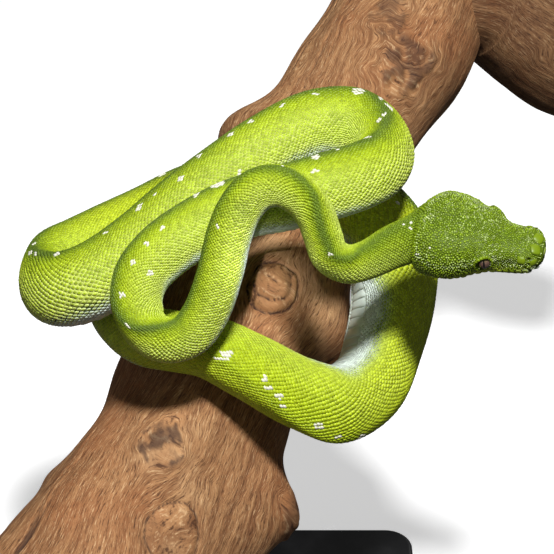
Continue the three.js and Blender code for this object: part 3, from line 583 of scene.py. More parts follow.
def buildSkin():
    grow = -body["inset"]
    rings, places = [], []  # (s, angles) and points
    angles = headAngleRow(head["length"])
    across, up = headSection(np.array(head["length"]), angles)
    for k in range(skin["noseRings"], 0, -1):
        t = math.sin(math.pi / 2 * k / (skin["noseRings"] + 0.5))
        shrink = math.sqrt(1 - t * t)
        x = head["length"] + skin["noseRound"] * t
        x = x - 0.6 * bump(up * shrink + 1.6, 0, 0.35)
        rings.append((-head["length"] - skin["noseRound"] * t, angles))
        places.append(headPlace(x + np.zeros_like(up), across * shrink, up * shrink))
    headRows = np.arange(head["length"], 0, -skin["headStep"])
    for x in np.concatenate([headRows, np.arange(0, -skin["neckTo"] - 0.01, -skin["neckStep"])]):
        rings.append((-x, headAngleRow(x)))
        places.append(skinSurface(-x, rings[-1][1], grow))
    headRings = len(rings)
    angles = aroundFrom(2 * math.pi * np.arange(skin["bodyColumns"]) / skin["bodyColumns"], 0)
    rows = np.arange(skin["neckTo"] + 0.9, bodyLength - 4, skin["bodyStep"])
    for s in np.concatenate([rows, np.linspace(bodyLength - 4, bodyLength - 0.02, 12)]):
        rings.append((s, angles))
        places.append(skinSurface(s, angles, grow))
    tips = [places[k].mean(0, keepdims=True) for k in (0, -1)]
    points, _ = clearOfBranch(np.vstack([tips[0]] + places + [tips[1]]), body["woodGap"])

    wide, narrow = skin["headColumns"], skin["bodyColumns"]
    faces = [(0, 1 + c, 1 + (c + 1) % wide) for c in range(wide)]
    faces += sheetFaces(headRings, wide, start=1)
    first = 1 + (headRings - 1) * wide
    second = first + wide
    for c in range(narrow):
        n = (c + 1) % narrow
        faces.append((first + 2 * c, second + c, second + n, first + (2 * c + 2) % wide, first + 2 * c + 1))
    faces += sheetFaces(len(rings) - headRings, narrow, start=second)
    last = second + (len(rings) - headRings - 1) * narrow
    faces += [(last + c, len(points) - 1, last + (c + 1) % narrow) for c in range(narrow)]
    s = np.concatenate([[rings[0][0] - 0.01]] + [np.full(len(a), r) for r, a in rings] + [[bodyLength]])
    angle = np.concatenate([[0]] + [a for _, a in rings] + [[0]])
    return points, [tuple(reversed(f)) for f in faces], s, angle


def unwrapSkin(mesh, s, angle):  # the body as strips, one above the other
    start = -head["length"] - skin["noseRound"] - 0.02
    run = np.where(s < 0, (s - start) * skin["headShare"], -start * skin["headShare"] + s)
    strips = skin["unwrapStrips"]
    strip = run / (bodyLength - start * skin["headShare"]) * strips
    corner = cornersOf(mesh)
    counts = cornerCounts(mesh)
    owner = np.repeat(np.arange(len(counts)), counts)
    starts = np.concatenate([[0], np.cumsum(counts)[:-1]])
    middle = np.add.reduceat(strip[corner], starts) / counts
    row = np.clip(np.floor(middle), 0, strips - 1)[owner]
    turn = (angle / (2 * math.pi)) % 1.0  # from the top of the back round to it again
    reach = np.maximum.reduceat(turn[corner], starts) > 0.75
    wrapped = turn[corner] + ((turn[corner] < 0.25) & reach[owner])
    along = 0.01 + 0.97 * np.clip(strip[corner] - row, -0.01, 1.01)
    unwrapTo(mesh, np.stack([along, (row + 0.03 + 0.92 * wrapped) / strips], -1))


def cornersOf(mesh):
    corner = np.zeros(len(mesh.loops), int)
    mesh.loops.foreach_get("vertex_index", corner)
    return corner


def unwrapTo(mesh, uv):
    layer = mesh.uv_layers.new(name="OFBake")
    layer.data.foreach_set("uv", np.clip(uv, 0, 1).astype(np.float32).ravel())


# Nodes. A socket is filled with a value or with another node's output, and knows its own tree.
def node(tree, kind, sockets=None, **settings):
    made = tree.nodes.new(kind)
    made.location = (220 * (len(tree.nodes) % 8), -300 * (len(tree.nodes) // 8))
    for key, value in settings.items():
        setattr(made, key, value)
    for key, value in (sockets or {}).items():
        if isinstance(value, bpy.types.NodeSocket):
            tree.links.new(value, made.inputs[key])
        else:
            made.inputs[key].default_value = value
    return made


def newMaterial(name):
    material = bpy.data.materials.new(name)
    material.use_nodes = True
    material.node_tree.nodes.clear()
    return material, material.node_tree


def finishWith(tree, sockets, height=None, strength=1.0, distance=0.001):  # height is the relief, if any
    if height is not None:
        relief = {"Strength": strength, "Distance": distance, "Height": height}
        sockets["Normal"] = node(tree, "ShaderNodeBump", relief).outputs[0]
    surface = node(tree, "ShaderNodeBsdfPrincipled", sockets)
    node(tree, "ShaderNodeOutputMaterial", {0: surface.outputs[0]})


def srgb(r, g, b):
    def linear(c):
        c = c / 255
        return c / 12.92 if c <= 0.04045 else ((c + 0.055) / 1.055) ** 2.4

    return (linear(r), linear(g), linear(b), 1)


def mixColour(factor, a, b):
    tree = next(v.id_data for v in (factor, a, b) if isinstance(v, bpy.types.NodeSocket))
    return node(tree, "ShaderNodeMix", {0: factor, 6: a, 7: b}, data_type="RGBA").outputs[2]


def layered(colour, *layers):  # each layer is how much it covers and its colour
    for factor, over in layers:
        colour = mixColour(factor, colour, over)
    return colour


def maths(operation, *values):
    made = node(values[0].id_data, "ShaderNodeMath", dict(enumerate(values)), operation=operation)
    return made.outputs[0]


def times(first, *others):
    for other in others:
        first = maths("MULTIPLY", first, other)
    return first


def remap(value, low, high, toLow=0.0, toHigh=1.0, kind="SMOOTHSTEP"):
    sockets = {"Value": value, "From Min": low, "From Max": high, "To Min": toLow, "To Max": toHigh}
    return node(value.id_data, "ShaderNodeMapRange", sockets, interpolation_type=kind).outputs["Result"]


def attribute(tree, name):
    return node(tree, "ShaderNodeAttribute", attribute_name=name).outputs


def placeIn(tree):
    return node(tree, "ShaderNodeTexCoord").outputs["Object"]


def speckle(place, scale, **more):
    sockets = {"Vector": place, "Scale": scale, **more}
    return node(place.id_data, "ShaderNodeTexNoise", sockets).outputs["Fac"]


def split(socket, kind="Color"):
    return node(socket.id_data, "ShaderNodeSeparate" + kind, {0: socket}).outputs


hide = {
    "flank": (170, 194, 12),
    "flankDeep": (146, 172, 14),
    "ridge": (98, 122, 32),
    "inner": (196, 212, 20),
    "olive": (124, 150, 22),
    "paleGreen": (168, 188, 70),
    "belly": (216, 228, 218),
    "net": (200, 218, 50),
    "netPale": (224, 236, 126),
    # groove: the dark green between scales, partly the skin's own darker colour and partly painted shade in
    # the gaps
    "groove": (56, 76, 12),
    # pale grains: partly the head's own whitish grains and partly painted highlight glints
    "paleGrainAndGlint": (198, 210, 150),
    "whiteScale": (232, 231, 212),
    "fleck": (60, 90, 15),
    # dark: painted shade in the mouth line, the nostril and round the eye, and darker streaks by the eye
    "dark": (16, 20, 10),
}
hide = {name: srgb(*colour) for name, colour in hide.items()}


def snakeMaterial(name, isScale, roughness, isHead=False):
    material, tree = newMaterial(name)
    tone, cast = attribute(tree, "tone"), attribute(tree, "cast")
    ridge, pale, white = split(tone["Color"])
    yellow, olive, dark = split(cast["Color"])
    net = mixColour(cast["Alpha"], hide["net"], hide["netPale"])  # paler at the sides
    place = placeIn(tree)
    cloud = speckle(place, 90.0, Detail=3.0)
    fleck = remap(speckle(place, 900.0, Detail=2.0), 0.7, 0.8)
    colour = layered(
        hide["flank"],
        (remap(cloud, 0.42, 0.75), hide["flankDeep"]),
        (times(yellow, 0.9), hide["inner"]),
        (ridge, hide["ridge"]),
        (times(olive, 0.85), hide["olive"]),
        (remap(pale, 0.0, 0.6), hide["paleGreen"]),
        (remap(pale, 0.7 if isScale else 0.8, 1.0), hide["belly"]),
    )
    if isScale:
        edge = remap(attribute(tree, "rim")["Fac"], 0.36, 0.9)
        flank = times(remap(ridge, 0.5, 0.05, 0.0, 0.8), remap(olive, 0.95, 0.3), remap(pale, 0.7, 0.4))
        low = times(edge, remap(pale, 0.05, 0.5, 0.0, 0.85))
        # deep: dark rims on the head's grains and the neck's scales, partly their own darker skin and partly
        # painted shade in the gaps
        deep = times(edge, remap(olive, 0.3, 1.0, 0.0, 0.8 if isHead else 0.6))
        rimColour = mixColour(remap(pale, 0.3, 0.9), net, hide["belly"])
        colour = layered(colour, (times(edge, flank), net), (low, rimColour), (deep, hide["groove"]))
        if isHead:
            cells = node(tree, "ShaderNodeTexVoronoi", {"Vector": place, "Scale": 1500.0})
            draws = split(cells.outputs["Color"])
            # pale grains here and there in clouds, partly the head's own whitish grains and partly painted
            # highlight glints
            light = times(remap(draws[0], 0.66, 1.0, 0, 0.8), remap(cloud, 0.42, 0.62, 0.25, 1.0))
            colour = mixColour(light, colour, hide["paleGrainAndGlint"])
            value = remap(draws[1], 0.0, 1.0, 0.5, 1.5, "LINEAR")
        else:
            value = remap(tone["Alpha"], 0.15, 0.85, 0.8, 1.12)
        shade = node(tree, "ShaderNodeHueSaturation", {"Value": value, "Color": colour})
        colour = mixColour(white, shade.outputs["Color"], hide["whiteScale"])
    else:
        between = times(remap(ridge, 0.5, 0.0, 0.0, 0.75), remap(olive, 0.9, 0.2), remap(pale, 0.7, 0.4))
        # painted shade in the gaps between scales on the lower flanks
        lowFlankGapShade = times(remap(pale, 0.1, 0.5), remap(pale, 0.95, 0.7))
        # deep: the skin between scales darkens, most on the head and neck, partly its own colour and partly
        # painted shade
        deep = remap(olive, 0.2, 1.0, 0.15, 0.7)
        colour = layered(colour, (between, net), (deep, hide["groove"]), (lowFlankGapShade, hide["groove"]))
    # random dark flecks, then the head's dark marks: painted shade in the mouth line, the nostril and round
    # the eye, and darker streaks by the eye
    colour = layered(colour, (times(fleck, 0.35), hide["fleck"]), (times(dark, 0.92), hide["dark"]))
    gloss = (0.6 if isHead else 0.32) if isScale else 0.12
    sockets = {"Base Color": colour, "Roughness": roughness, "Specular IOR Level": gloss}
    finishWith(tree, sockets, speckle(place, 2600.0, Detail=2.0), 0.25, 0.0001)
    return material


skinMaterial = snakeMaterial("snakeSkin", False, 0.5)
scaleMaterial = snakeMaterial("snakeScales", True, 0.4)
grainMaterial = snakeMaterial("snakeHeadScales", True, 0.3, True)

nodeCounts = {"neck": 3, "body": 24, "tail": 4}
snakeNodes = ["head"] + [f"{part}_{k + 1}" for part, count in nodeCounts.items() for k in range(count)]
points, faces, skinS, skinAngle = buildSkin()
skinPiece = makePiece("snake_skin", points, faces, snakeNodes, skinMaterial)
tone, cast = markings(skinS, skinAngle, points)
store(skinPiece.data, tone=tone, cast=cast)
unwrapSkin(skinPiece.data, skinS, skinAngle)
print("skin made")


# Scales. A tree sets one shape on every root, turned and sized by the root's own attributes.
def newTree(name, **inputs):
    tree = bpy.data.node_groups.new(name, "GeometryNodeTree")
    for label, kind in inputs.items():
        tree.interface.new_socket(label, in_out="INPUT", socket_type="NodeSocket" + kind)
    tree.interface.new_socket("Geometry", in_out="OUTPUT", socket_type="NodeSocketGeometry")
    return tree, node(tree, "NodeGroupInput").outputs


def readAttribute(tree, name, kind="FLOAT_VECTOR"):
    return node(tree, "GeometryNodeInputNamedAttribute", {"Name": name}, data_type=kind).outputs[0]


def setShapes(tree, start, points, turn, scale):  # the shape on every point, made real, in its finish
    shape = node(tree, "GeometryNodeObjectInfo", {"Object": start["Shape"]}).outputs["Geometry"]
    sockets = {"Points": points, "Instance": shape, "Rotation": turn, "Scale": scale}
    made = node(tree, "GeometryNodeInstanceOnPoints", sockets).outputs[0]
    made = node(tree, "GeometryNodeRealizeInstances", {0: made}).outputs[0]
    made = node(tree, "GeometryNodeSetMaterial", {"Geometry": made, "Material": start["Finish"]})
    node(tree, "NodeGroupOutput", {0: made.outputs[0]})
    return tree


def settingTree():
    kinds = {"Geometry": "Geometry", "Shape": "Object", "Size": "Float", "Finish": "Material"}
    tree, start = newTree("Set scales on roots", **kinds)
    roots = node(tree, "GeometryNodeMeshToPoints", {"Mesh": start["Geometry"]})
    turn = node(tree, "FunctionNodeEulerToRotation", {0: readAttribute(tree, "turn")})
    sockets = {0: readAttribute(tree, "size"), "Scale": start["Size"]}
    size = node(tree, "ShaderNodeVectorMath", sockets, operation="SCALE")
    return setShapes(tree, start, roots.outputs[0], turn.outputs[0], size.outputs[0])


setOnRoots = settingTree()


def growOn(name, ground, tree, values, finish):  # runs a tree on a mesh, and keeps what it makes
    holder = bpy.data.objects.new(name + "Holder", ground)
    bpy.context.scene.collection.objects.link(holder)
    modifier = holder.modifiers.new("scales", "NODES")
    modifier.node_group = tree
    values["Finish"] = finish
    for item in tree.interface.items_tree:
        if item.item_type == "SOCKET" and item.in_out == "INPUT" and item.name in values:
            modifier[item.identifier] = values[item.name]
    bpy.context.view_layer.update()
    seen = holder.evaluated_get(bpy.context.evaluated_depsgraph_get())
    mesh = bpy.data.meshes.new_from_object(seen)
    bpy.data.objects.remove(holder)
    mesh.name = name
    patchMap(mesh)
    for key in ("turn", "size", "share", "grain", "patch", "local"):
        if key in mesh.attributes:
            mesh.attributes.remove(mesh.attributes[key])
    wearMesh(name, mesh, (), finish)


def patchMap(mesh):  # each scale is a small patch at its root's place on the unwrap
    patch, local = np.zeros((2, len(mesh.vertices) * 3), np.float32)
    mesh.attributes["patch"].data.foreach_get("vector", patch)
    mesh.attributes["local"].data.foreach_get("vector", local)
    patch, local = patch.reshape(-1, 3), local.reshape(-1, 3)
    lift = local[:, 2:3] * np.array([[0.35, 0.2]])
    unwrapTo(mesh, (patch[:, :2] + coat["patch"] * (local[:, :2] + lift))[cornersOf(mesh)])


def eulerOf(tailward, side, normal):  # XYZ angles of the frame whose x runs to the tail and z out
    y = np.arcsin(np.clip(-tailward[:, 2], -1, 1))
    x = np.arctan2(side[:, 2], normal[:, 2])
    z = np.arctan2(tailward[:, 1], tailward[:, 0])
    return np.stack([x, y, z], -1)


def setScales(name, shape, keep, roots, axes, size, tone, cast, patch):
    carrier = bpy.data.meshes.new(name + "Roots")
    carrier.from_pydata((roots[keep] * mm).tolist(), [], [])
    patch = np.concatenate([patch, np.zeros((len(patch), 1))], 1)
    layers = {"turn": eulerOf(*axes), "size": size, "tone": tone, "cast": cast, "patch": patch}
    store(carrier, **{key: values[keep] for key, values in layers.items()})
    growOn(name, carrier, setOnRoots, {"Shape": shape, "Size": mm}, scaleMaterial)


def bodyScaleShape():  # one scale, 1 long and 1 wide, domed, with its free end lifted
    rim = [(-0.5, 0, 0.0), (-0.24, 0.33, 0.04), (0.14, 0.43, 0.08), (0.5, 0.17, 0.15)]
    rim += [(0.5, -0.17, 0.15), (0.14, -0.43, 0.08), (-0.24, -0.33, 0.04)]
    skirt = [(x * 0.96, y * 0.96, z - 0.2) for x, y, z in rim]
    n = len(rim)
    faces = [(0, 1 + (i + 1) % n, 1 + i) for i in range(n)]
    faces += [(1 + i, 1 + (i + 1) % n, 1 + n + (i + 1) % n, 1 + n + i) for i in range(n)]
    return [(0.06, 0, 0.3)] + rim + skirt, faces, [0.0] + [1.0] * (2 * n)


def domeFaces(rings, around):  # a middle point and rings round it
    return [(0, 1 + i, 1 + (i + 1) % around) for i in range(around)] + sheetFaces(rings, around, start=1)


def domeShape(sides, height):
    turn = 2 * math.pi * np.arange(sides) / sides
    points = [(0, 0, height)]
    for reach, z in ((0.3, height * 0.8), (0.5, 0.0)):
        points += [(reach * math.cos(a), reach * math.sin(a), z) for a in turn]
    return points, domeFaces(2, sides), [0.0] + [0.3] * sides + [1.0] * sides


def plateShape(dimple=0.0):  # a pillow with rounded corners, with a pit in it where dimple is above 0
    rings = [(0.12, 0.99 - dimple), (0.3, 0.94 - 0.85 * dimple), (0.56, 0.82), (0.78, 0.58)]
    rings += [(0.93, 0.3), (1.0, 0.0)]
    around = 20
    points, rim = [(0, 0, 1.0 - dimple)], [dimple]
    for reach, height in rings:
        for i in range(around):
            a = 2 * math.pi * i / around
            c, s = math.cos(a), math.sin(a)
            r = 0.5 * reach * (abs(c) ** 3.2 + abs(s) ** 3.2) ** (-1 / 3.2)
            points.append((r * c, r * s, height))
            rim.append(max(float(smooth(np.array(reach), 0.7, 1.0)), dimple * (1 - reach / 0.5)))
    return points, domeFaces(len(rings), around), rim


def shapeFrom(name, made):  # a template object, its faces turned to the side that z points to
    points, faces, rim = made
    p = np.array(points, float)
    a, b, c = (p[faces[0][k]] for k in range(3))
    if np.cross(b - a, c - a)[2] <= 0:
        faces = [tuple(reversed(f)) for f in faces]
    mesh = bpy.data.meshes.new(name)
    mesh.from_pydata(p.tolist(), [], faces)
    mesh.update()
    mesh.shade_smooth()
    store(mesh, rim=rim, local=p)
    shape = bpy.data.objects.new(name, mesh)
    bpy.context.scene.collection.objects.link(shape)
    return shape


coat = {
    "columns": 84,
    "neckColumns": 56,
    "neckTo": 150,
    "bellyHalf": 0.36,  # the belly plates take this much of the turn on each side
    "pitch": 0.062,  # rows along the body, as a share of its height
    "finestPitch": 0.36,
    "overlap": 1.06,
    "bendOverlap": 1.7,
    "width": 0.84,
    "bendWidth": 0.58,
    "height": 0.56,  # of a scale, as a share of its width
    "from": -6.5,
    "pieces": [-7, 95, 205, 320, 430, 620, 800, 920, 1100],
    "patch": 0.0026,  # size of a scale on the unwrap
}


def heightAt(s):
    return np.interp(s, bodyRun, bodyTable[:, 3])


def pitchAt(s):
    onNeck = 1 - smooth(s, 60, 150)
    near = 0.88 + 0.12 * smooth(s, -5, 30)  # smaller behind the head
    return np.maximum(coat["pitch"] * heightAt(s) * near * (1 + 0.12 * onNeck), coat["finestPitch"])


def rowsFrom(start, end, stepAt):
    rows, s = [], start
    while s < end:
        rows.append(s)
        s += stepAt(s)
    return np.array(rows)


def rowStep(s):
    return float(pitchAt(np.array(max(s, 0.0))))


def columnsAt(s):
    height = heightAt(np.maximum(s, 0))
    body = np.where(height < 4, 20, np.where(height < 7, 32, np.where(height < 11, 48, coat["columns"])))
    return int(np.where(s < coat["neckTo"], coat["neckColumns"], body))


def coatEdge(angle):  # how far along the head its grains give way to the body's scales
    return 1.5 + 1.5 * np.sin(angle)


def buildScales():
    shape = shapeFrom("scaleShape", bodyScaleShape())
    rows = rowsFrom(coat["from"], bodyLength - 0.6, rowStep)
    draw = np.random.default_rng(5)
    half = math.pi - coat["bellyHalf"]
    for k, (low, high) in enumerate(zip(coat["pieces"][:-1], coat["pieces"][1:])):
        inPiece = np.where((rows >= low) & (rows < high))[0]
        parts = []
        for i in inPiece:
            columns = columnsAt(rows[i])
            c = np.arange(columns)
            share = (i - inPiece[0] + 0.5 * (c % 2)) / len(inPiece)
            parts.append((
                rows[i] + rowStep(rows[i]) * 0.5 * (c % 2), ((c + 0.5) / columns * 2 - 1) * half,
                0.01 + 0.97 * share, 0.01 + 0.97 * (c + 0.5) / columns, np.full(columns, 4 * half / columns),
            ))
        s, angle, along, across, wide = (np.concatenate(part) for part in zip(*parts))
        s = np.minimum(s + draw.normal(0, 0.09, len(s)), bodyLength - 0.5)
        angle = angle + draw.normal(0, 0.006, len(s))
        roots, *axes = skinRoots(s, angle, -body["inset"])
        stretch = stretchAt(s, angle)
        turn = probe["turn"]
        reach = np.linalg.norm(skinSurface(s, angle + turn) - skinSurface(s, angle - turn), axis=-1)
        reach /= 2 * turn
        roots, push = clearOfBranch(roots, body["woodGap"])
        loose = smooth(stretch, 0.5, 0.95)  # the rows run together to ribs on the inside of a bend
        width = wide * reach * (coat["bendWidth"] + (coat["width"] - coat["bendWidth"]) * loose)
        overlap = coat["bendOverlap"] + (coat["overlap"] - coat["bendOverlap"]) * loose
        length = pitchAt(np.maximum(s, 0)) * np.clip(stretch, 0.3, 1.1) * overlap
        size = np.stack([length, width, coat["height"] * np.minimum(width, 1.5 * length)], -1)
        size *= draw.normal(1, 0.06, (len(s), 1)) * draw.normal(1, 0.05, (len(s), 3))
        tone, cast = markings(s, angle, roots)
        # every second row is left out where the bend packs them tight
        tight = (stretch < 0.42) & (np.round(along * 1e4).astype(int) % 2 == 1)
        keep = (push < 0.2) & (stretch > 0.22) & (-s < coatEdge(angle) + 1.1) & ~tight
        size[:, 2] = np.where(tone[:, 2] > 0, size[:, 2] * 1.25, size[:, 2])
        patch = np.stack([along, across], -1)
        setScales(f"snake_scales_{k + 1}", shape, keep, roots, axes, size, tone, cast, patch)
    bpy.data.objects.remove(shape)


buildScales()
print("scales set")


# Belly plates, one row from the throat to the tail.
belly = {"from": 6.0, "pitch": 0.15, "overlap": 1.16, "across": 13, "rise": 0.016}


def bellyShape():
    turn = np.linspace(-coat["bellyHalf"] - 0.07, coat["bellyHalf"] + 0.07, belly["across"])
    y, up = bodySection(math.pi + turn, 1.0)
    base = -up - 0.45
    edge = smooth(np.abs(turn), coat["bellyHalf"] * 0.75, coat["bellyHalf"] + 0.07)
    points, rim = [], []
    profile = ((-0.5, -0.2, 0.3), (-0.3, 0.55, 0), (0.25, 1, 0.1), (0.5, 1.15, 0.8), (0.54, 0.3, 1))
    for x, lift, mark in profile:
        z = base + belly["rise"] * (lift * (1 - 0.8 * edge) - 0.6 * edge)
        points += list(zip(np.full(len(y), x), y, z))
        rim += list(np.maximum(mark, edge * 0.6))
    return points, sheetFaces(len(profile), belly["across"], closed=False), rim


def buildBelly():
    s = rowsFrom(belly["from"], bodyLength - 3, lambda s: max(belly["pitch"] * float(heightAt(s)), 0.8))
    angle = np.full(len(s), math.pi)
    roots, *axes = skinRoots(s, angle, -body["inset"])
    _, push = clearOfBranch(roots, body["woodGap"])
    height = heightAt(s)
    length = belly["pitch"] * height * belly["overlap"] * np.clip(stretchAt(s, angle), 0.3, 1.3)
    size = np.stack([length, height, height], -1)
    k = np.arange(len(s))
    patch = np.stack([0.02 + 0.95 * k / len(s), 0.1 + 0.8 * (k % 7) / 6], -1)
    shape = shapeFrom("bellyPlateShape", bellyShape())
    setScales("snake_belly_plates", shape, push < 0.25, roots, axes, size, *markings(s, angle, roots), patch)
    bpy.data.objects.remove(shape)


buildBelly()
print("belly plates set")

# Head. Small grains stand all over it, and plates along the lips, round the nose and the eyes.
grains = {
    "gap": {"back": 0.76, "front": 0.56},
    "size": {"back": 0.92, "front": 0.68},
    "height": 0.62,
    "smallest": 0.86,  # of the size above
    "largest": 1.14,
    "dense": 9.0,  # tries for each square mm
    "seed": 4,
}
plates = {
    "labialFrom": 13.5,
    "labialTo": 42.9,
    "labialStep": 2.36,
    "labialLong": 2.3,
    "labialTall": 2.1,
    "labialOut": 1.45,
    "height": 0.45,
    "noseHeight": 0.75,
    "ring": 20,
    "ringOut": 0.5,
    "noseParts": [  # mm along, angle from the top, length, width
        (42.0, 0.4, 4.2, 4.4), (41.9, 1.2, 3.4, 3.2), (37.9, 1.0, 3.2, 3.0),
    ],
}


def headMarks(x, angle, tone, cast):  # what differs on the head: green lower jaw, light lips, painted shade in the mouth line, the nostril and round the eye, and darker streaks by the eye
    fromTop = fromTopOf(angle)
    lip = fromMouth(x, angle)
    isOpen = smooth(x, head["mouthCorner"] - 1, head["mouthCorner"] + 2)
    light = smooth(x, 34, 41) * bump(lip, 0, 3.4) + 0.75 * smooth(fromTop, 2.3, 2.8)
    tone[..., 1] = np.where(x > 0, np.maximum(light, 0.55 * smooth(fromTop, 2.2, 2.9)), tone[..., 1])
    tone[..., 0] = np.where(x > 0, tone[..., 0] * 0.6, tone[..., 0])
    glow = within(lip, -6.5, -2.5, 1, 4) * within(x, 8, 16, 26, 36)
    cast[..., 0] = np.where(x > 3, glow, cast[..., 0])
    cast[..., 1] = np.where(x > 3, 1 - 0.85 * glow, cast[..., 1])
    nostril = headDents[0]
    # painted shade along the mouth line and in the nostril
    dark = np.maximum(isOpen * bump(lip, 0, 0.5), bump(fromDent(x, fromTop, nostril), 0, nostril[2] * 1.15))
    up = headSection(x, angle)[1]
    fromEye = np.hypot(x - head["eye"][0], up - head["eye"][2])
    # painted shade in the crease round the eye
    dark = np.maximum(dark, np.where(fromTop < 2, 0.7 * bump(fromEye, head["eyeRadius"], 0.3), 0))
    atSide = within(fromTop, 0.5, 0.8, 1.9, 2.2)
    ahead = within(x, 26.5, 28.5, 34, 38) * bump(up, 2.4, 0.9)
    behind = within(x, 14, 17, 21.5, 23) * bump(up, 1.6, 0.8)
    dark = np.maximum(dark, 0.7 * atSide * np.maximum(ahead, behind))
    cast[..., 2] = np.where(x > 0, dark, 0)
    return tone, cast


def grainTree():
    kinds = {"Geometry": "Geometry", "Shape": "Object", "Gap": "Float", "Tries": "Float", "Seed": "Int"}
    tree, start = newTree("Grow grains on the head", **kinds, Finish="Material")
    sockets = {"Mesh": "Geometry", "Distance Min": "Gap", "Density Max": "Tries", "Seed": "Seed"}
    sockets = {key: start[name] for key, name in sockets.items()}
    sockets["Density Factor"] = readAttribute(tree, "share", "FLOAT")
    spread = node(tree, "GeometryNodeDistributePointsOnFaces", sockets, distribute_method="POISSON")
    sockets = {2: grains["smallest"], 3: grains["largest"], "Seed": start["Seed"]}
    vary = node(tree, "FunctionNodeRandomValue", sockets, data_type="FLOAT")
    size = maths("MULTIPLY", readAttribute(tree, "grain", "FLOAT"), vary.outputs[1])
    return setShapes(tree, start, spread.outputs["Points"], spread.outputs["Rotation"], size)


def growGrains(part, tree, shape, low, high):
    x, turn = np.meshgrid(np.linspace(low, high, 150), np.linspace(-math.pi, math.pi, 181), indexing="ij")
    points = skinSurface(-x, turn, -body["inset"])
    tone, cast = markings(-x.ravel(), turn.ravel(), points.reshape(-1, 3))
    tone, cast = headMarks(x.ravel(), turn.ravel(), tone, cast)
    fromTop = np.abs(turn)
    fade = smooth(x, 15, 21)
    share = smooth(x, coatEdge(turn) - 1.4, coatEdge(turn) + 0.2) * (fade if part == "front" else 1 - fade)
    blocked = (np.abs(fromMouth(x, turn)) < plates["labialTall"] + 0.45) & (x > plates["labialFrom"] - 1)
    fromEye = np.hypot(x - head["eye"][0], headSection(x, turn)[1] - head["eye"][2])
    blocked |= (fromEye < head["eyeRadius"] - 0.15) & (fromTop < 2.1)
    half = tableAt(head["halfWidth"], x)
    for at, around, length, width in plates["noseParts"]:
        blocked |= np.hypot((x - at) / length, (fromTop - around) * half / width) < 0.47
    blocked |= fromDent(x, fromTop, headDents[0]) < headDents[0][2] * 1.2
    share = np.where(blocked, 0, share).ravel()
    mesh = bpy.data.meshes.new(part + "Ground")
    mesh.from_pydata((points.reshape(-1, 3) * mm).tolist(), [], sheetFaces(*x.shape, closed=False))
    mesh.update()
    across = 0.02 + 0.95 * (turn / (2 * math.pi) + 0.5)
    patch = np.stack([0.02 + 0.95 * (x - low) / (high - low), across, 0 * x], -1)
    grain = np.full(x.size, grains["size"][part] * mm)
    store(mesh, share=share, grain=grain, tone=tone, cast=cast, patch=patch)
    values = {"Gap": grains["gap"][part] * mm, "Tries": grains["dense"] / mm**2, "Seed": grains["seed"]}
    growOn("snake_head_grains_" + part, mesh, tree, {"Shape": shape, **values}, grainMaterial)


def buildGrains():
    tree = grainTree()
    shape = shapeFrom("grainShape", domeShape(6, grains["height"]))
    growGrains("back", tree, shape, -10, 22)
    growGrains("front", tree, shape, 14, head["length"] - 0.1)
    bpy.data.objects.remove(shape)


def buildHeadPlates():
    rows = []  # s, angle, length, width, pitted, on the nose
    for side in (1, -1):
        for x in np.arange(plates["labialFrom"], plates["labialTo"], plates["labialStep"]):
            mouth = float(np.interp(x, mouthRows, mouthAngles))
            out = plates["labialOut"] / float(tableAt(head["halfWidth"], x))
            long, tall = plates["labialLong"], plates["labialTall"] * (1 - 0.2 * float(smooth(x, 38, 44)))
            rows.append((-x, side * (mouth - out), long, tall, x > 36, 0))
            rows.append((-x - 0.9, side * (mouth + out), long, tall * 1.05, 19 < x < 33, 0))
        for at, around, length, width in plates["noseParts"]:
            rows.append((-at, side * around, length, width, 0, 1))
        for k in range(plates["ring"]):
            turn = 2 * math.pi * (k + 0.5) / plates["ring"]
            reach = head["eyeRadius"] + plates["ringOut"]
            x = head["eye"][0] + reach * math.cos(turn)
            around = float(headAngleAt(np.array(x), head["eye"][2] + reach * math.sin(turn)))
            brow = 0.35 * max(math.sin(turn), 0)
            rows.append((-x, side * (around + 0.4 * brow / 9), 0.95 + brow, 0.9 + brow, 0, 0))
    table = np.array(rows, float)
    roots, *axes = skinRoots(table[:, 0], table[:, 1], -body["inset"])
    front = head["length"] + skin["noseRound"] * 0.75
    for place, length, width in (((front, 0, 0.25), 2.7, 3.6), ((front - 0.5, 0, -2.75), 1.8, 3.2)):
        roots = np.vstack([roots, headPlace(*place)])
        axes = [np.vstack(pair) for pair in zip(axes, (-headUp, headLeft, headForward))]
        table = np.vstack([table, (-44, 1.3, length, width, 0, 0)])
    tone, cast = markings(table[:, 0], table[:, 1], roots)
    tone, cast = headMarks(-table[:, 0], table[:, 1], tone, cast)
    tone[:, 3] = np.random.default_rng(3).random(len(table))
    cast[:, 2] = 0
    nose = table[:, 5] > 0
    tone[nose, 1], tone[nose, 3], cast[nose, 1] = 0, 0.1, 1
    height = np.where(nose, plates["noseHeight"], plates["height"])
    size = np.stack([table[:, 2], table[:, 3], height], -1)
    patch = np.stack([-table[:, 0], table[:, 1]], -1)
    pitted = table[:, 4] > 0
    for name, chosen, dimple in (("snake_lip_plates", ~pitted, 0.0), ("snake_pit_plates", pitted, 1.0)):
        shape = shapeFrom(name + "Shape", plateShape(dimple))
        at = 0.02 + 0.95 * (patch - patch[chosen].min(0)) / np.ptp(patch[chosen], axis=0)
        setScales(name, shape, chosen, roots, axes, size, tone, cast, at)
        bpy.data.objects.remove(shape)


buildGrains()
buildHeadPlates()
print("head coat set")


# Driftwood. The grain runs along the branch and parts round each knot.
wood = {
    "around": 236,
    "rings": 384,
    "capRings": 9,
    "knobHeart": (1.8, 0.8, 6.2),  # place and radius of the inner lump of a knot that stands out
    "knobCrack": (0.3, 0.94),  # the way its crack runs
    "limbAround": 110,
    "limbPerSpan": 26,
    "limbReach": 25,
    "reach": 36,  # the radius that the grain is drawn at
    "grooveDepth": 0.8,
    "crackDepth": 1.2,
    "uneven": 0.55,
    "roughness": 0.9,
}


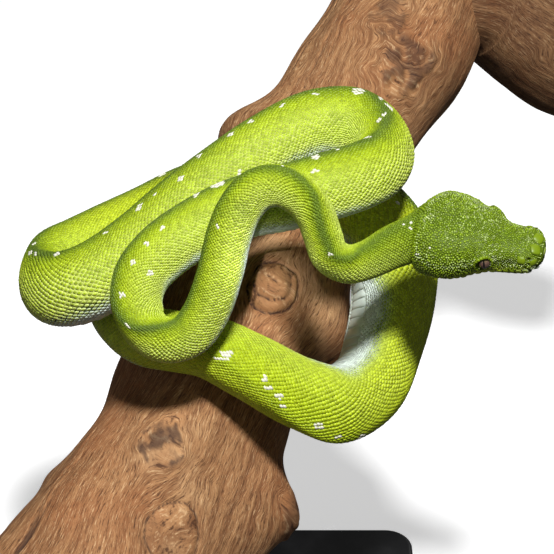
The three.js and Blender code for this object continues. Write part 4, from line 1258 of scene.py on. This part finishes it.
def woodFace(along, angle, knots, reach):  # depth below the plain form, and what the finish needs
    shape = np.shape(along)
    turned = angle.copy()
    swirl = np.stack([reach * np.cos(angle), reach * np.sin(angle), 0.45 * along], -1)
    turned += 0.5 * (roughNoise(swirl, 34) - 0.45)
    knotness, phase, darkKnotsAndPaintedShade, lift, raised = (np.zeros(shape) for _ in range(5))
    for at, around, radius, groove, lumps, dark, out in knots:
        y = aroundFrom(angle, around) * reach
        x = (along - at) * 0.85
        local = np.stack([x, y, 0 * x + at], -1)
        rho = np.hypot(x, y) * (1 + wood["uneven"] * (0.4 + lumps) * (roughNoise(local, 9) - 0.45))
        part = radius**2 / np.maximum(rho, radius) ** 2 * np.exp(-((rho / (4 * radius)) ** 2))
        turned -= y * part / reach
        inside = 1 - smooth(rho, radius * 0.86, radius * 1.12)
        phase = np.where(inside > knotness, rho + 16 * roughNoise(local + 8, 7), phase)
        knotness = np.maximum(knotness, inside)
        rough = roughNoise(local + 20, 4.2, 4) - 0.45
        lift += lumps * 2.4 * inside * rough - groove * 1.6 * bump(rho, radius * 1.06, 0.55)
        # painted shade in the groove round the knot
        darkKnotsAndPaintedShade = np.maximum(darkKnotsAndPaintedShade, smooth(groove, 0, 0.6) * 0.9 * bump(rho, radius * 1.06, 0.5))
        # knots darkened by their dark value
        darkKnotsAndPaintedShade = np.maximum(darkKnotsAndPaintedShade, dark * inside * smooth(rough + 0.35 * dark, 0.02, 0.3))
        if out > 0:
            hx, hy, heart = wood["knobHeart"]
            cx, cy = wood["knobCrack"]
            rim = np.hypot(x - hx, y - hy) * (1 + 0.5 * (roughNoise(local + 60, 8) - 0.45))
            lift += out * (0.5 * inside + 0.5 * np.sqrt(np.clip(1 - (rim / (heart * 1.1)) ** 2, 0, 1)))
            lift -= 0.9 * bump(rim, heart * 1.12, 0.5) * inside
            reached = x * cx + y * cy
            cut = within(reached, -1.2, 0, 3.5, 4.6) * bump(x * cy - y * cx, 0.4, 0.35)
            lift -= 1.6 * cut
            raised = np.maximum(raised, (0.5 + out) * inside)
            # painted shade in the knob's crack and in the groove round its heart
            darkKnotsAndPaintedShade = np.maximum(darkKnotsAndPaintedShade, 0.9 * np.maximum(cut, bump(rim, heart * 1.12, 0.4) * inside))
    grain = np.stack([reach * np.cos(turned), reach * np.sin(turned), along], -1)
    fibre = noise(grain * (1, 1, 0.06), 1.3)
    band = roughNoise(grain * (1, 1, 0.09) + 11, 6.5)
    crack = smooth(1 - np.abs(noise(grain * (1, 1, 0.045) + 31, 9) - 0.5) * 2, 0.93, 0.995)
    crack = crack * smooth(roughNoise(grain * (1, 1, 0.3), 24), 0.42, 0.6) * (1 - knotness)
    depth = wood["grooveDepth"] * (0.35 * fibre + 0.65 * band) + wood["crackDepth"] * crack
    depth = depth * (1 - 0.7 * knotness) + 1.2 * roughNoise(swirl + 50, 11) * wood["roughness"] - lift
    # painted shade in the cracks
    darkKnotsAndPaintedShade = np.maximum(darkKnotsAndPaintedShade, 0.8 * crack)
    depth = np.maximum(depth, -1.6 * knotness - raised)
    return depth, grain, np.stack([knotness, phase / 20, darkKnotsAndPaintedShade, np.ones(shape)], -1)


def woodPiece(name, axisAt, radiusAt, rows, columns, knots, reach, node, material):
    angle = 2 * math.pi * np.arange(columns) / columns
    along, around = np.meshgrid(rows, angle, indexing="ij")
    depth, grain, mark = woodFace(along, around, knots, reach)
    place, right, front = axisAt(rows)
    radius = radiusAt(along, around) - depth
    ring = place[:, None] + right[:, None] * (radius * np.cos(around))[..., None]
    ring = ring + front[:, None] * (radius * np.sin(around))[..., None]

    def sawnEnd(end):  # rings from the middle of the cut out: places, grain and marks
        for k in range(wood["capRings"] - 1, 0, -1):
            share = 1 - k / wood["capRings"]
            off = place[end] + (ring[end] - place[end]) * share - place[end]
            cutFace = np.stack([3 * np.cos(angle) + 7, 3 * np.sin(angle), 0 * angle + share], -1)
            splits = smooth(noise(cutFace, 0.55), 0.72, 0.85)
            one = np.ones(columns)
            # the splits of the sawn face carry painted shade
            marks = np.stack([one, np.linalg.norm(off, axis=-1) / 20, 0.9 * splits, one], -1)
            yield place[end] + (ring[end] - place[end]) * share, off, marks

    layers = [*sawnEnd(0), *zip(ring, grain, mark), *list(sawnEnd(-1))[::-1]]
    points, grains, marks = (list(part) for part in zip(*layers))
    points = np.vstack([place[:1]] + points + [place[-1:]])
    piece = solidPiece(name, points, len(layers), columns, node, material)
    none, centre = np.zeros((1, 3)), np.array([[1, 0, 0, 1]])
    grains, marks = np.vstack([none] + grains + [none]), np.vstack([centre] + marks + [centre])
    store(piece.data, grain=grains * mm, knot=marks)


# shade is how much painted shade darkens the whole finish
def driftwoodMaterial(name, shade):
    material, tree = newMaterial(name)
    knot, phase, darkKnotsAndPaintedShade = split(attribute(tree, "knot")["Color"])
    grain = {"Vector": attribute(tree, "grain")["Vector"], "Scale": (1, 1, 0.1)}
    along = node(tree, "ShaderNodeMapping", grain).outputs[0]
    place = placeIn(tree)
    fine = speckle(along, 2500.0, Detail=4.0, Roughness=0.7)
    broad = speckle(along, 330.0, Detail=5.0, Roughness=0.62, Distortion=0.8)
    blotch = speckle(place, 26.0, Detail=5.0, Roughness=0.6)
    speck = speckle(place, 800.0, Detail=3.0)
    turn = maths("SINE", maths("MULTIPLY_ADD", phase, 60.0, times(broad, 7.0)))
    ringed = times(knot, remap(turn, 0.3, 1.0, 0, 0.14))
    colour = layered(
        srgb(134, 90, 56),
        (remap(broad, 0.34, 0.66), srgb(180, 132, 88)),
        (remap(blotch, 0.48, 0.72, 0, 0.6), srgb(158, 98, 58)),
        (remap(blotch, 0.48, 0.3, 0, 0.55), srgb(204, 162, 116)),
        (remap(fine, 0.49, 0.34, 0, 0.92), srgb(78, 48, 30)),
        (remap(fine, 0.54, 0.68, 0, 0.75), srgb(222, 184, 138)),
        (ringed, srgb(104, 66, 42)),
        # dark knots, and painted shade in cracks, splits and the grooves round knots
        (remap(darkKnotsAndPaintedShade, 0.1, 0.95), srgb(58, 38, 32)),
        (remap(speck, 0.66, 0.74, 0, 0.5), srgb(70, 46, 32)),
        # painted shade: shade above 0 darkens the whole copy of the finish, as the limb lies in shade
        (shade, srgb(38, 25, 15)),
    )
    height = maths("SUBTRACT", maths("ADD", fine, times(broad, 1.5)), times(ringed, 0.6))
    sockets = {"Base Color": colour, "Roughness": 0.78, "Specular IOR Level": 0.3}
    finishWith(tree, sockets, height, 0.7, 0.0006)
    return material


def trunkAxis(rows):
    place = branchMiddle + rows[:, None] * branchAxis
    one = np.ones((len(rows), 1))
    return place, one * branchRight, one * branchFront


limbRows = np.array(limb["line"], float)
limbTable = splineThrough(np.hstack([placed(limbRows[:, :3]), limbRows[:, 3:]]), wood["limbPerSpan"])
limbRun = runOf(limbTable)
limbShare = np.linspace(0, 1, len(limbTable))
limbBase = np.interp(limbShare, np.linspace(0, 1, len(limbRows)), limbRows[:, 3])


def limbAxis(rows):
    place = np.stack([np.interp(rows, limbRun, limbTable[:, k]) for k in range(3)], -1)
    run = unit(np.gradient(place, axis=0))
    side = unit(np.cross(run, branchFront))
    return place, side, np.cross(side, run)


def limbRadius(along, angle):
    u = np.interp(along, limbRun, limbShare)
    base = np.interp(along, limbRun, limbBase)
    return base + 0.8 * np.sin(3 * angle + 2 * u) + 0.5 * np.sin(5 * angle - 3 * u)


trunkRows = np.linspace(branch["start"], branch["end"], wood["rings"])
limbSteps = np.linspace(0, limbRun[-1], 5 * wood["limbPerSpan"])
woodPiece(
    "driftwood_trunk", trunkAxis, branchRadius, trunkRows, wood["around"], branch["knots"],
    wood["reach"], "perch", driftwoodMaterial("driftwood", 0.0),
)
# The limb gets a copy of the driftwood finish with painted shade laid over it.
woodPiece(
    "driftwood_limb", limbAxis, limbRadius, limbSteps, wood["limbAround"], limb["knots"],
    wood["limbReach"], "perch_limb", driftwoodMaterial("driftwoodLimbInPaintedShade", 0.5),
)
print("driftwood made")


# Display stand: a plain plate and two rods with a collar each.
stand = {
    "edge": 1.5,
    "under": (14, 1.2),  # how far in the rings of the flat faces lie
    "top": (1.9, 7.5, 30),
    "corner": 12,
    "cornerSteps": 14,
    "sides": 64,
    "rod": 6.0,
    "collar": 11,
    "collarHeight": 4,
    "collarEdge": 1.2,
}


def standMaterial():
    material, tree = newMaterial("standBlack")
    place = placeIn(tree)
    dust = speckle(place, 60.0, Detail=4.0)
    colour = mixColour(remap(dust, 0.4, 0.8), (0.012, 0.012, 0.013, 1), (0.03, 0.03, 0.032, 1))
    sockets = {"Base Color": colour, "Roughness": remap(dust, 0.2, 0.8, 0.34, 0.46), "Metallic": 0.0}
    finishWith(tree, sockets, speckle(place, 2200.0, Detail=2.0), 0.3, 0.0001)
    return material


blackMaterial = standMaterial()


def stackPiece(name, outlines, node):  # closed piece from outlines of equal count, lowest first
    ends = [outlines[k].mean(0, keepdims=True) for k in (0, -1)]
    points = np.vstack([ends[0]] + outlines + [ends[1]])
    solidPiece(name, points, len(outlines), len(outlines[0]), node, blackMaterial)


def buildBase():
    low, high = (np.array(v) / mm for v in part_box("stand_base"))
    edge, corner = stand["edge"], stand["corner"]

    def outline(inset, z):
        rows = []
        for quarter, (sx, sy) in enumerate(((1, 1), (-1, 1), (-1, -1), (1, -1))):
            centre = np.array([high[0] if sx > 0 else low[0], high[1] if sy > 0 else low[1]])
            centre = centre - np.array([sx, sy]) * corner
            turn = math.pi / 2 * (quarter + np.linspace(0, 1, stand["cornerSteps"]))
            reach = max(corner - inset, 0.5)
            pull = np.array([sx, sy]) * min(corner - inset - reach, 0)
            rows.append(np.stack([np.cos(turn), np.sin(turn)], -1) * reach + centre + pull)
        flat = np.vstack(rows)
        return np.hstack([flat, np.full((len(flat), 1), z)])

    outlines = [outline(inset, low[2]) for inset in stand["under"]]
    for a in np.linspace(0.35, math.pi / 2, 5):
        outlines.append(outline(edge * (1 - math.sin(a)), low[2] + edge * (1 - math.cos(a))))
    for a in np.linspace(0, math.pi / 2, 6):
        outlines.append(outline(edge * (1 - math.cos(a)), high[2] - edge * (1 - math.sin(a))))
    outlines += [outline(inset, high[2]) for inset in stand["top"]]
    stackPiece("stand_plate", outlines, "stand_base")


def buildRod(number):
    low, high = (np.array(v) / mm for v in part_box(f"stand_rod_{number}"))
    centre = (low[:2] + high[:2]) / 2
    radius, collar, edge = stand["rod"], stand["collar"], stand["collarEdge"]
    top = low[2] + stand["collarHeight"]
    profile = [(collar - 0.4, low[2]), (collar, low[2] + 0.3), (collar, top - edge)]
    for a in (0.5, 1.0, 1.4):
        profile.append((collar - edge * (1 - math.cos(a)), top - edge * (1 - math.sin(a))))
    profile += [(collar - 1.6, top), (radius + 1.2, top)]
    profile += [(radius + out, top + up) for out, up in ((0.3, 0.25), (0, 1.2), (0, 3))]
    profile += [(radius, high[2] - 1), (radius - 1, high[2])]
    turn = 2 * math.pi * np.arange(stand["sides"]) / stand["sides"]
    outlines = [
        np.stack([centre[0] + r * np.cos(turn), centre[1] + r * np.sin(turn), np.full(len(turn), z)], -1)
        for r, z in profile
    ]
    stackPiece(f"stand_post_{number}", outlines, f"stand_rod_{number}")


buildBase()
buildRod(1)
buildRod(2)
print("stand made")


# Eyes, with an upright slit of a pupil.
eyes = {"across": 48, "down": 32, "gaze": (0.25, 1.0, 0.42), "slitHalf": 0.13, "slitTall": 0.66}


def eyeMaterial():
    material, tree = newMaterial("eye")
    local = attribute(tree, "eyePlace")["Vector"]
    x, y, _ = split(local, "XYZ")
    reach = maths("SQRT", maths("ADD", times(x, x), times(y, y)))
    wide = maths("DIVIDE", x, eyes["slitHalf"])
    tall = maths("DIVIDE", y, eyes["slitTall"])
    slit = maths("ADD", times(wide, wide), times(tall, tall))
    colour = layered(
        srgb(78, 56, 48),
        (remap(speckle(local, 7.0, Detail=5.0, Roughness=0.7), 0.35, 0.65), srgb(122, 95, 80)),
        (remap(speckle(local, 22.0, Detail=3.0), 0.55, 0.7, 0, 0.5), srgb(92, 60, 52)),
        (remap(y, 0.3, 0.7, 0, 0.5), srgb(150, 140, 80)),
        (remap(reach, 0.72, 0.92), srgb(22, 18, 14)),
        (remap(slit, 1.25, 0.9), (0.004, 0.004, 0.004, 1)),
    )
    finishWith(tree, {"Base Color": colour, "Roughness": 0.12, "Coat Weight": 1.0, "Coat Roughness": 0.06})
    return material


def buildEye(name, side, finish):
    gaze = np.array(eyes["gaze"], float) * (1, side, 1)
    gaze = unit(gaze @ headWays)
    across = unit(np.cross(headUp, gaze))
    local = [(0, 0, 1)]
    for k in range(1, eyes["down"]):
        a = math.pi * k / eyes["down"]
        turn = 2 * math.pi * np.arange(eyes["across"]) / eyes["across"]
        local += [(math.sin(a) * math.cos(t), math.sin(a) * math.sin(t), math.cos(a)) for t in turn]
    local = np.array(local + [(0, 0, -1)])
    ex, ey, ez = head["eye"]
    points = headPlace(ex, side * ey, ez)
    points = points + (local * head["eyeRadius"]) @ np.stack([across, np.cross(gaze, across), gaze])
    rows = eyes["down"] - 1
    piece = solidPiece(name + "_ball", points, rows, eyes["across"], name, finish)
    store(piece.data, eyePlace=local)


eyeFinish = eyeMaterial()
buildEye("eye_left", 1, eyeFinish)
buildEye("eye_right", -1, eyeFinish)
print("eyes made")


# Camera and light
view = {"target": (8, 4, 190), "distance": 750, "elevationDeg": 33, "lens": 126.8, "sensor": 36}
studio = {"floorHalf": 4, "floorGlow": 0.5, "floorTone": (0.9, 0.9, 0.9, 1), "around": 0.07}
elevation = math.radians(view["elevationDeg"])
toCamera = np.array([0, -math.cos(elevation), math.sin(elevation)])
middle = np.array(view["target"]) * mm
camera = bpy.data.objects.new("camera", bpy.data.cameras.new("camera"))
camera.data.lens = view["lens"]
camera.data.sensor_width = view["sensor"]
camera.data.clip_start = 0.01
camera.location = (np.array(view["target"]) + toCamera * view["distance"]) * mm
camera.rotation_euler = (math.radians(90 - view["elevationDeg"]), 0, 0)
bpy.context.scene.collection.objects.link(camera)
bpy.context.scene.camera = camera

floorMesh = bpy.data.meshes.new("floor")
half = studio["floorHalf"]
floorCorners = [(-half, -half, 0), (half, -half, 0), (half, half, 0), (-half, half, 0)]
floorMesh.from_pydata(floorCorners, [], [(0, 1, 2, 3)])
floor = bpy.data.objects.new("floor", floorMesh)
bpy.context.scene.collection.objects.link(floor)
floorMaterial, floorTree = newMaterial("paleFloor")
floorSockets = {"Base Color": studio["floorTone"], "Roughness": 0.9, "Emission Color": (1, 1, 1, 1)}
finishWith(floorTree, {**floorSockets, "Emission Strength": studio["floorGlow"]})
floorMesh.materials.append(floorMaterial)
floor.visible_diffuse = False  # the undersides stay as dark as in a studio with black walls
floor.visible_glossy = False
floor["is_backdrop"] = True


def addLight(name, kind, place, target, power, **settings):
    lamp = bpy.data.lights.new(name, kind)
    lamp.energy = power
    for key, value in settings.items():
        setattr(lamp, key, value)
    held = bpy.data.objects.new(name, lamp)
    held.location = place
    aim = unit(np.array(place, float) - np.array(target, float))
    held.rotation_euler = (math.acos(aim[2]), 0, math.atan2(aim[1], aim[0]) + math.pi / 2)
    bpy.context.scene.collection.objects.link(held)
    held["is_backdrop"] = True


addLight("keyLight", "AREA", (0.1, -0.565, 1.34), middle, 22.5, shape="DISK", size=0.16)
addLight("fillLight", "AREA", (-0.8, -0.7, 0.5), middle, 0.6, shape="DISK", size=0.9)
addLight("backLight", "AREA", (0.6, 1.0, 0.9), middle, 1.2, shape="DISK", size=0.5)

# A narrow beam from beside the camera picks out the knot between the coils.
beam = {"spot_size": math.radians(2.4), "spot_blend": 0.9, "shadow_soft_size": 0.01}
knotPlace = placed((-1.5, -6, 5)) * mm
addLight("knotLight", "SPOT", knotPlace + toCamera * 0.75 + (-0.04, 0, 0.12), knotPlace, 34.0, **beam)

world = bpy.data.worlds.new("studio")
world.use_nodes = True
world.node_tree.nodes["Background"].inputs[0].default_value = (1, 1, 1, 1)
world.node_tree.nodes["Background"].inputs[1].default_value = studio["around"]
bpy.context.scene.world = world
bpy.context.scene.view_settings.view_transform = "Standard"

low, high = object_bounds()
print("scene ready")
